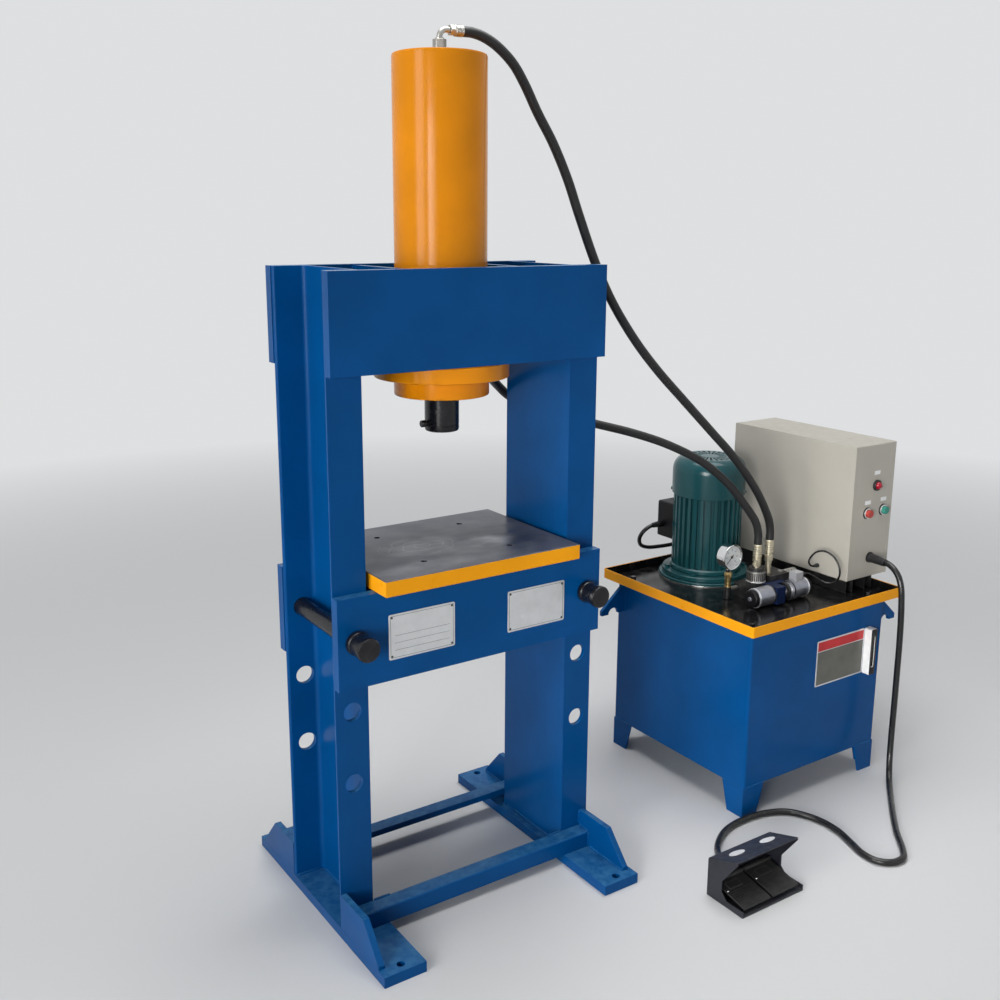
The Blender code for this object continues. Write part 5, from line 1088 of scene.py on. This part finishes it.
print("cowl slots:", len(slots))

# %% [markdown]
# ## Valve group
#
# The valve block is blackened steel. On its front sits the directional valve with a coil at each end; the knurled
# sleeve is the throttle, and the small grip on the right sets the relief pressure.

# %% Valve block, valve and coils
dressed("valve_block", black_steel, 0.001)
valve_low, valve_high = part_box("valve_body")
coil_place = Vector(((valve_low.x + valve_high.x) / 2, (valve_low.y + valve_high.y) / 2, (valve_low.z + valve_high.z) / 2))


coil_radius = 0.026
split_x = valve_low.x + 0.033
shape = gathered(
    dyed(eased(block(valve_low, (split_x, valve_high.y, valve_high.z)), 0.0012), 0),
    dyed(eased(block((split_x - 0.001, valve_high.y - 0.018, valve_low.z + 0.001), valve_high - Vector((0, 0, 0.001))), 0.001), 0),
    dyed(put(spun([(0.012, 0.0185), (0.0165, 0.0185), (0.0165, 0.0150), (0.0150, 0.0140), (0.0150, 0.0110), (0.0165, 0.0100),
                   (0.0165, 0.0060), (0.0150, 0.0050), (0.0150, -0.001), (0.012, -0.001)], 40, closed=True), (split_x, coil_place.y, coil_place.z), "x"), 1),
    dyed(put(disc(0.0242, 0.0180, 0.0270, 48, 0.0012), (split_x, coil_place.y, coil_place.z), "x"), 2),
    dyed(put(disc(0.0205, 0.0268, valve_high.x - split_x, 48), (split_x, coil_place.y, coil_place.z), "x"), 1),
)
finished("valve_body_shaped", shape, [valve_navy, turned_steel, black_plastic], "frame", ["valve_body"])


def is_coil_plug(centre, normal):
    """The cable plug on top of a coil."""
    return centre.z > coil_place.z + coil_radius + 0.0003


for node, way in (("left_solenoid", "-x"), ("right_solenoid", "x")):
    side = -1 if way == "-x" else 1
    dressed(node, [coil_can, coil_grey], 0.0012, 3, rules=[is_coil_plug])
    rims = [
        put(spun([(coil_radius - 0.002, high), (coil_radius + 0.0006, high), (coil_radius + 0.0009, (low + high) / 2),
                  (coil_radius + 0.0006, low), (coil_radius - 0.002, low)], 48, closed=True), coil_place, way)
        for low, high in ((0.0358, 0.0405), (0.0925, 0.0965))
    ]
    shape = gathered(dyed(rims[0], 0), dyed(rims[1], 1))
    finished(f"{node}_rims", shape, [black_plastic, plate_aluminium], "frame")
    nut = spun([
        (0.0062, 0.1105), (0.0195, 0.1105), (0.0222, 0.1092), (0.0236, 0.1068), (0.0238, 0.0985), (0.0225, 0.0974),
        (0.0160, 0.0974), (0.0160, 0.1088), (0.0062, 0.1088),
    ], 48, closed=True)
    finished(f"{node}_nut", put(nut, coil_place, way), cap_black, "frame")
plug_low, plug_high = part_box("right_solenoid")
plug_top = plug_high.z
plug_x = coil_place.x + 0.0663
ribs = [
    eased(block((plug_x - 0.0158, coil_place.y - 0.0125 + 0.005 * step, plug_top - 0.018),
                (plug_x - 0.0148, coil_place.y - 0.0100 + 0.005 * step, plug_top - 0.002)), 0.0003, 1)
    for step in range(5)
]
ribs += [
    eased(block((plug_x - 0.0125 + 0.005 * step, coil_place.y - 0.0143, plug_top - 0.018),
                (plug_x - 0.0100 + 0.005 * step, coil_place.y - 0.0133, plug_top - 0.002)), 0.0003, 1)
    for step in range(5)
]
finished("plug_ribs", gathered(*ribs), coil_grey, "frame")
finished("plug_screw", drive_screw(Vector((plug_x, coil_place.y, plug_top)), 0.0035, "z"), zinc_plate, "frame")
dressed("throttle_sleeve", black_steel, 0.0003, 1)
sleeve_low, sleeve_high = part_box("throttle_sleeve")
sleeve_place = Vector(((sleeve_low.x + sleeve_high.x) / 2, (sleeve_low.y + sleeve_high.y) / 2, 0))
sleeve_radius = (sleeve_high.x - sleeve_low.x) / 2
band = spun([
    (sleeve_radius - 0.002, -0.009), (sleeve_radius + 0.0002, -0.009), (sleeve_radius + 0.0004, -0.011), (sleeve_radius + 0.0004, -0.035),
    (sleeve_radius + 0.0002, -0.037), (sleeve_radius - 0.002, -0.037),
], 64, closed=True)
line = spun([(sleeve_radius - 0.002, -0.0372), (sleeve_radius + 0.0008, -0.0374), (sleeve_radius + 0.0008, -0.0386), (sleeve_radius - 0.002, -0.0388)], 64, closed=True)
marks = []
for step in range(30):
    turn = 2 * math.pi * step / 30
    way = Vector((math.cos(turn), math.sin(turn), 0))
    mark = block((-0.0105, -0.0014, 0), (0.0105, 0.0014, 0.0005))
    bmesh.ops.transform(mark, matrix=Matrix.Rotation(math.pi / 2, 4, "Y"), verts=mark.verts)
    bmesh.ops.rotate(mark, cent=(0, 0, 0), matrix=Matrix.Rotation(turn, 3, "Z"), verts=mark.verts)
    bmesh.ops.translate(mark, vec=way * (sleeve_radius + 0.0003) + Vector((0, 0, -0.0230)), verts=mark.verts)
    marks.append(mark)
shape = gathered(dyed(band, 0), dyed(line, 1), dyed(gathered(*marks), 2))
bmesh.ops.translate(shape, vec=sleeve_place + Vector((0, 0, sleeve_high.z)), verts=shape.verts)
finished("sleeve_scale", shape, [zinc_plate, dial_white, dial_ink], "throttle_sleeve")
dressed("relief_knob", turned_steel, 0.0003, 1)
plugs = [put(hexagon(0.014, -0.0005, 0.004, 0.0006), at(x, y, z), "z") for x, y, z in ((1.042, -0.04, 0.590), (1.042, -0.088, 0.590))]
finished("block_plugs", gathered(*plugs), zinc_plate, "frame")

# %% [markdown]
# The dial gauge has a polished rim, a white dial with a 270 degree scale, and a glass in front.
# Its graduations and numbers are thin raised shapes, which is how printed ink is made to show in a mesh.

# %% Gauge case and dial
gauge_low, gauge_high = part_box("gauge_case")
gauge_place = at(0.894, -0.035, 0.645)
gauge_front = gauge_place.y - 0.015
dial_y = gauge_front + 0.006
gauge_z = gauge_place.z
dressed("gauge_pipe", [turned_brass, black_steel, zinc_plate], 0.0005, rules=[
    lambda centre, normal: centre.z < 0.545,
    lambda centre, normal: centre.x > gauge_place.x + 0.0095,
])
stem = gathered(
    put(disc(0.0092, 0.5245, 0.5865, 32, 0.0008), (gauge_place.x, gauge_place.y, 0)),
    put(hexagon(0.0200, 0.5858, 0.5985, 0.0008), (gauge_place.x, gauge_place.y, 0)),
)
finished("gauge_stem", stem, turned_brass, "frame")
case = gathered(
    put(spun([
        (0.0312, 0.0152), (0.0335, 0.0158), (0.0352, 0.0146), (0.0358, 0.0118), (0.0352, 0.0095), (0.0346, 0.0088),
        (0.0346, -0.0118), (0.0335, -0.0142), (0.031, -0.015), (0, -0.015), (0, 0.0088), (0.0312, 0.0088),
    ], 72, closed=True), gauge_place, "-y"),
    put(hexagon(0.0138, 0.6003, 0.6135, 0.0006), Vector((gauge_place.x, gauge_place.y, 0))),
    put(disc(0.0015, 0.008, 0.0115, 16), gauge_place, "-y"),
)
finished("gauge_case_polished", case, chrome, "frame", ["gauge_case"])
dial = put(disc(0.0311, 0, 0.0004, 64), Vector((gauge_place.x, dial_y + 0.0002, gauge_z)), "-y")
finished("gauge_dial", dial, dial_white, "frame")
scale = []
for step in range(31):
    turn = math.radians(225 - 270 * step / 30)
    long_mark = step % 5 == 0
    inner = 0.0235 if long_mark else 0.0258
    mark = block((inner, -0.0004 if long_mark else -0.00022, 0), (0.0285, 0.0004 if long_mark else 0.00022, 0.00012))
    bmesh.ops.rotate(mark, cent=(0, 0, 0), matrix=Matrix.Rotation(turn, 3, "Z"), verts=mark.verts)
    scale.append(put(mark, Vector((gauge_place.x, dial_y - 0.0002, gauge_z)), "-y"))
finished("gauge_scale", gathered(*scale), dial_ink, "frame")
glass = put(disc(0.0313, 0.0128, 0.0138, 64, 0.0003, 1), gauge_place, "-y")
finished("gauge_glass_disc", glass, gauge_glass, "frame")


def dial_numbers(name, words, radius, size):
    """Numbers round the dial, made from text and turned into one mesh."""
    shapes = []
    for word, share in words:
        text = bpy.data.curves.new(f"{name}_{word}", "FONT")
        text.body = word
        text.size = size
        text.align_x = "CENTER"
        text.align_y = "CENTER"
        text.extrude = 0.00006
        holder = bpy.data.objects.new(f"{name}_{word}", text)
        bpy.context.scene.collection.objects.link(holder)
        bpy.context.view_layer.update()
        flat = bpy.data.meshes.new_from_object(holder.evaluated_get(bpy.context.evaluated_depsgraph_get()))
        shape = bmesh.new()
        shape.from_mesh(flat)
        bpy.data.objects.remove(holder)
        bpy.data.curves.remove(text)
        bpy.data.meshes.remove(flat)
        turn = math.radians(225 - 270 * share)
        spot = Vector((gauge_place.x + radius * math.cos(turn), dial_y - 0.00026, gauge_z + radius * math.sin(turn)))
        bmesh.ops.transform(shape, matrix=Matrix.Translation(spot) @ Matrix.Rotation(math.pi / 2, 4, "X"), verts=shape.verts)
        shapes.append(shape)
    return finished(name, gathered(*shapes), dial_ink, "frame")


dial_numbers("gauge_numbers", [(str(value), value / 60) for value in (0, 10, 20, 30, 40, 50, 60)], 0.0195, 0.0052)
dressed("gauge_needle", needle_ink, 0.0)
print("gauge at", tuple(round(value, 3) for value in gauge_place))

# %% [markdown]
# ## Control cabinet
#
# A folded sheet box on two rails. Its narrow front carries a lamp and two push buttons in polished collars,
# each with a small blank plate above, and the gland of the foot switch's cable.

# %% Cabinet
cabinet_low, cabinet_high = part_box("cabinet")
front_y = -0.200
controls = {"lamp": (1.284, 0.828), "red": (1.2525, 0.752), "green": (1.3195, 0.7535)}
side_bosses = ((0.215, 0.612, 0.0125), (-0.096, 0.585, 0.0075))


def is_collar(centre, normal):
    """Polished collars round the lamp and the buttons."""
    near = [math.hypot(centre.x - at(x, 0, 0).x, centre.z - z) < 0.0155 for x, z in controls.values()]
    return centre.y < at(0, front_y, 0).y - 0.0004 and any(near)


def is_boss(centre, normal):
    """Cable bosses on the left side."""
    near = [math.hypot(centre.y - at(0, y, 0).y, centre.z - z) < radius for y, z, radius in side_bosses]
    return centre.x < at(1.189, 0, 0).x - 0.0004 and any(near)


dressed("cabinet", [cabinet_beige, chrome, black_plastic], 0.0007, rules=[is_collar, is_boss])
dressed("cabinet_door", [cabinet_beige, black_plastic], 0.0007,
        rules=[lambda centre, normal: centre.x > at(1.3578, 0, 0).x])
for node in ("left_rail", "right_rail"):
    dressed(node, black_steel, 0.0006)
dressed("indicator_lamp", lamp_red, 0.0)
dressed("red_button", button_red, 0.0004)
dressed("green_button", button_green, 0.0004)
bezels = [put(spun([(0.0100, 0.0070), (0.0138, 0.0076), (0.0152, 0.0060), (0.0156, touch), (0.0150, touch), (0.0100, 0.0066)], 40, closed=True),
              at(1.284, front_y, 0.828), "-y")]
finished("lamp_bezel", gathered(*bezels), black_plastic, "frame")
# Thin black rings under the two button collars are painted shade: they stand for the shadow gap round each collar.
shadow_gap_rings = [put(spun([(0.0150, 0.0012), (0.0166, 0.0010), (0.0168, touch), (0.0150, touch)], 40, closed=True), at(x, front_y, z), "-y")
         for x, z in (controls["red"], controls["green"])]
finished("button_shadow_gap_rings", gathered(*shadow_gap_rings), black_plastic, "frame")
labels = []
for x, z, rise in ((1.284, 0.828, 0.036), (1.2525, 0.752, 0.030), (1.3195, 0.7535, 0.031)):
    labels.append(eased(block(at(x - 0.012, front_y - 0.0009, z + rise - 0.0055), at(x + 0.012, front_y - 0.0001, z + rise + 0.0055)), 0.0003))
finished("button_labels", gathered(*labels), white_plastic, "frame")

# %% [markdown]
# A cable gland is a hexagon body, a domed nut and a soft tapered sleeve that keeps the cable from kinking.
# The cable leaves in the middle, so the sleeve is a spun profile with shallow rings round it.

# %% Cable gland and sleeves
def bend_sleeve(cable_radius, length, thick):
    """A tapered rubber sleeve with rings, along +Z."""
    profile = [(cable_radius + 0.0002, 0)]
    rings = 5
    for step in range(rings):
        share = step / rings
        outer = cable_radius + thick * (1 - share * 0.7)
        low = length * share
        profile += [(outer, low), (outer, low + length / rings * 0.6), (outer - thick * 0.3, low + length / rings * 0.68),
                    (outer - thick * 0.3, low + length / rings * 0.92)]
    profile.append((cable_radius + 0.0002, length))
    return spun(profile, 40, closed=True)


gland_place = at(1.277, front_y, 0.621)
gland_shape = gathered(
    put(disc(0.010, -0.010, 0.001, 32), gland_place, "-y"),
    put(disc(0.0155, touch, 0.0030, 48, 0.0006), gland_place, "-y"),
    put(hexagon(0.0255, 0.0028, 0.010, 0.0008), gland_place, "-y"),
    put(spun([(0.0087, 0.0555), (0.0100, 0.0555), (0.0108, 0.0540), (0.0116, 0.0300), (0.0122, 0.0290), (0.0122, 0.0095), (0.0087, 0.0095)],
             48, closed=True), gland_place, (-0.0006, -0.047, -0.0022)),
)
finished("cable_gland_moulded", gland_shape, black_plastic, "frame", ["cable_gland"])
sleeves = [
    put(bend_sleeve(0.0085, 0.026, 0.0035), *pedal_cable_ends[1]),
    put(bend_sleeve(0.006, 0.022, 0.003), *motor_cable_ends[0]),
    put(bend_sleeve(0.006, 0.022, 0.003), *motor_cable_ends[1]),
    put(bend_sleeve(0.00275, 0.012, 0.0018), *valve_cable_ends[0]),
    put(bend_sleeve(0.00275, 0.010, 0.0018), *valve_cable_ends[1]),
]
finished("cable_sleeves", gathered(*sleeves), black_plastic, "frame")

# %% [markdown]
# ## Foot switch
#
# A hooded housing with two treads under it. Two oval plates lie on the hood, and each tread has a small raised
# field near the hood and a bright rivet at its side.

# %% Foot switch
dressed("pedal_housing", [hood_black], 0.0014, 3)
dressed("left_tread", tread_black, 0.0008)
dressed("right_tread", tread_black, 0.0008)


def oval(place, long_half, short_half, height):
    """A thin oval plate lying flat."""
    shape = disc(1, 0, height, 40)
    bmesh.ops.scale(shape, vec=(long_half, short_half, 1), verts=shape.verts)
    return put(shape, place)


hood_slope = math.atan2(0.027, 0.082)
hood_middle_y, hood_middle_z = -0.4895, 0.1100


def on_hood(shape, x, y=hood_middle_y):
    """Lay a flat shape on the hood, which rises towards the front."""
    tilt = Matrix.Rotation(-hood_slope, 4, "X")
    place = at(x, y, hood_middle_z + (hood_middle_y - y) * math.tan(hood_slope))
    bmesh.ops.transform(shape, matrix=Matrix.Translation(place) @ tilt, verts=shape.verts)
    return shape


ovals = [on_hood(oval((0, 0, -0.0003), 0.0225, 0.0125, 0.0014), x) for x in (0.4965, 0.5973)]
finished("pedal_ovals", gathered(*ovals), white_plastic, "frame")

# %% Treads
for node, pad_x in (("left_tread", 0.489), ("right_tread", 0.5865)):
    low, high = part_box(node)
    pivot_y, pivot_z, front_y, front_z = at(0, -0.464, 0).y, 0.039, at(0, -0.559, 0).y, 0.0185
    slope = math.atan2(pivot_z - front_z, pivot_y - front_y)
    middle_x, middle_y = at(pad_x, 0, 0).x, at(0, -0.491, 0).y

    def on_tread(shape, x, y):
        """Lay a flat shape on the tread, which falls towards the front."""
        height = pivot_z + (y - pivot_y) * math.tan(slope)
        bmesh.ops.transform(shape, matrix=Matrix.Translation((x, y, height)) @ Matrix.Rotation(slope, 4, "X"), verts=shape.verts)
        return shape

    pad = gathered(
        dyed(eased(block((-0.0205, -0.011, 0), (0.0205, 0.011, 0.0012)), 0.0005), 0),
        dyed(eased(block((-0.0175, -0.008, 0), (0.0175, 0.008, 0.0015)), 0.0002, 1), 1),
    )
    pad = on_tread(pad, middle_x, middle_y)
    ridges = [
        on_tread(dyed(eased(block((0.006 - (high.x - low.x) / 2, -0.0009, 0), ((high.x - low.x) / 2 - 0.006, 0.0009, 0.0009)), 0.0003, 1), 1),
                 (low.x + high.x) / 2, at(0, -0.508 - 0.0065 * step, 0).y)
        for step in range(8)
    ]
    finished(f"{node}_pad", gathered(pad, *ridges), [pad_grey, tread_black], node)
    screw = on_tread(drive_screw(Vector((0, 0, 0)), 0.0028, "z"), low.x + 0.005, at(0, -0.502, 0).y)
    finished(f"{node}_screw", screw, chrome, node)
print("foot switch dressed")

# %% [markdown]
# ## Studio
#
# A plain pale floor and soft light. The floor fades into the background far from the machine, so no horizon shows,
# and the lamps stay out of the camera's sight.

# %% Floor and backdrop
backdrop = (0.73, 0.74, 0.75)
floor_shape = bmesh.new()
bmesh.ops.create_circle(floor_shape, cap_ends=True, radius=30, segments=96)
floor_mesh = bpy.data.meshes.new("floor")
floor_shape.to_mesh(floor_mesh)
floor_shape.free()
floor = bpy.data.objects.new("floor", floor_mesh)
bpy.context.scene.collection.objects.link(floor)

floor_paint, tree, shader = new_finish("floor_paint", (0.66, 0.67, 0.68), 0.6)
output = tree.nodes["Material Output"]
place = added(tree, "ShaderNodeTexCoord")
spread = added(tree, "ShaderNodeVectorMath")
spread.operation = "LENGTH"
tree.links.new(place.outputs["Object"], spread.inputs[0])
far_share = between(tree, spread.outputs["Value"], 0, 1, 1.6, 5.5)
glow = added(tree, "ShaderNodeEmission", Color=(*backdrop, 1), Strength=1.0)
fade = added(tree, "ShaderNodeMixShader")
tree.links.new(far_share, fade.inputs["Fac"])
tree.links.new(shader.outputs["BSDF"], fade.inputs[1])
tree.links.new(glow.outputs["Emission"], fade.inputs[2])
tree.links.new(fade.outputs["Shader"], output.inputs["Surface"])
floor_mesh.materials.append(floor_paint)

# %% World
world = bpy.data.worlds.new("studio")
bpy.context.scene.world = world
world.use_nodes = True
tree = world.node_tree
soft = tree.nodes["Background"]
soft.inputs["Color"].default_value = (0.92, 0.96, 1.0, 1)
soft.inputs["Strength"].default_value = 0.06
seen = added(tree, "ShaderNodeBackground", Color=(*backdrop, 1), Strength=1.0)
rays = added(tree, "ShaderNodeLightPath")
either = added(tree, "ShaderNodeMath")
either.operation = "MAXIMUM"
tree.links.new(rays.outputs["Is Camera Ray"], either.inputs[0])
tree.links.new(rays.outputs["Is Glossy Ray"], either.inputs[1])
also = added(tree, "ShaderNodeMath")
also.operation = "MAXIMUM"
tree.links.new(either.outputs["Value"], also.inputs[0])
tree.links.new(rays.outputs["Is Transmission Ray"], also.inputs[1])
choose = added(tree, "ShaderNodeMixShader")
tree.links.new(also.outputs["Value"], choose.inputs["Fac"])
tree.links.new(soft.outputs["Background"], choose.inputs[1])
tree.links.new(seen.outputs["Background"], choose.inputs[2])
tree.links.new(choose.outputs["Shader"], tree.nodes["World Output"].inputs["Surface"])


# %% Lamps
def softbox(name, place, target, width, height, power, colour=(1, 1, 1)):
    """A rectangular lamp that looks at a point and stays out of the camera's sight."""
    data = bpy.data.lights.new(name, "AREA")
    data.shape = "RECTANGLE"
    data.size = width
    data.size_y = height
    data.energy = power
    data.color = colour
    lamp = bpy.data.objects.new(name, data)
    way = Vector(target) - Vector(place)
    lamp.matrix_world = Matrix.Translation(place) @ way.to_track_quat("-Z", "Y").to_matrix().to_4x4()
    lamp.visible_camera = False
    bpy.context.scene.collection.objects.link(lamp)
    return lamp


softbox("window_left", (-4.6, -0.6, 2.0), (0, 0, 0.8), 1.4, 3.2, 100, (1, 0.99, 0.97))
beam = softbox("window_front_left", (-3.6, -2.6, 1.3), (0.95, 0.1, 0.45), 1.6, 1.6, 11, (1, 0.99, 0.97))
beam.data.spread = math.radians(40)
softbox("roof_light", (0.2, 0.3, 4.4), (0.2, 0.1, 0), 3.4, 3.0, 158)

scene = bpy.context.scene
scene.view_settings.view_transform = "Standard"
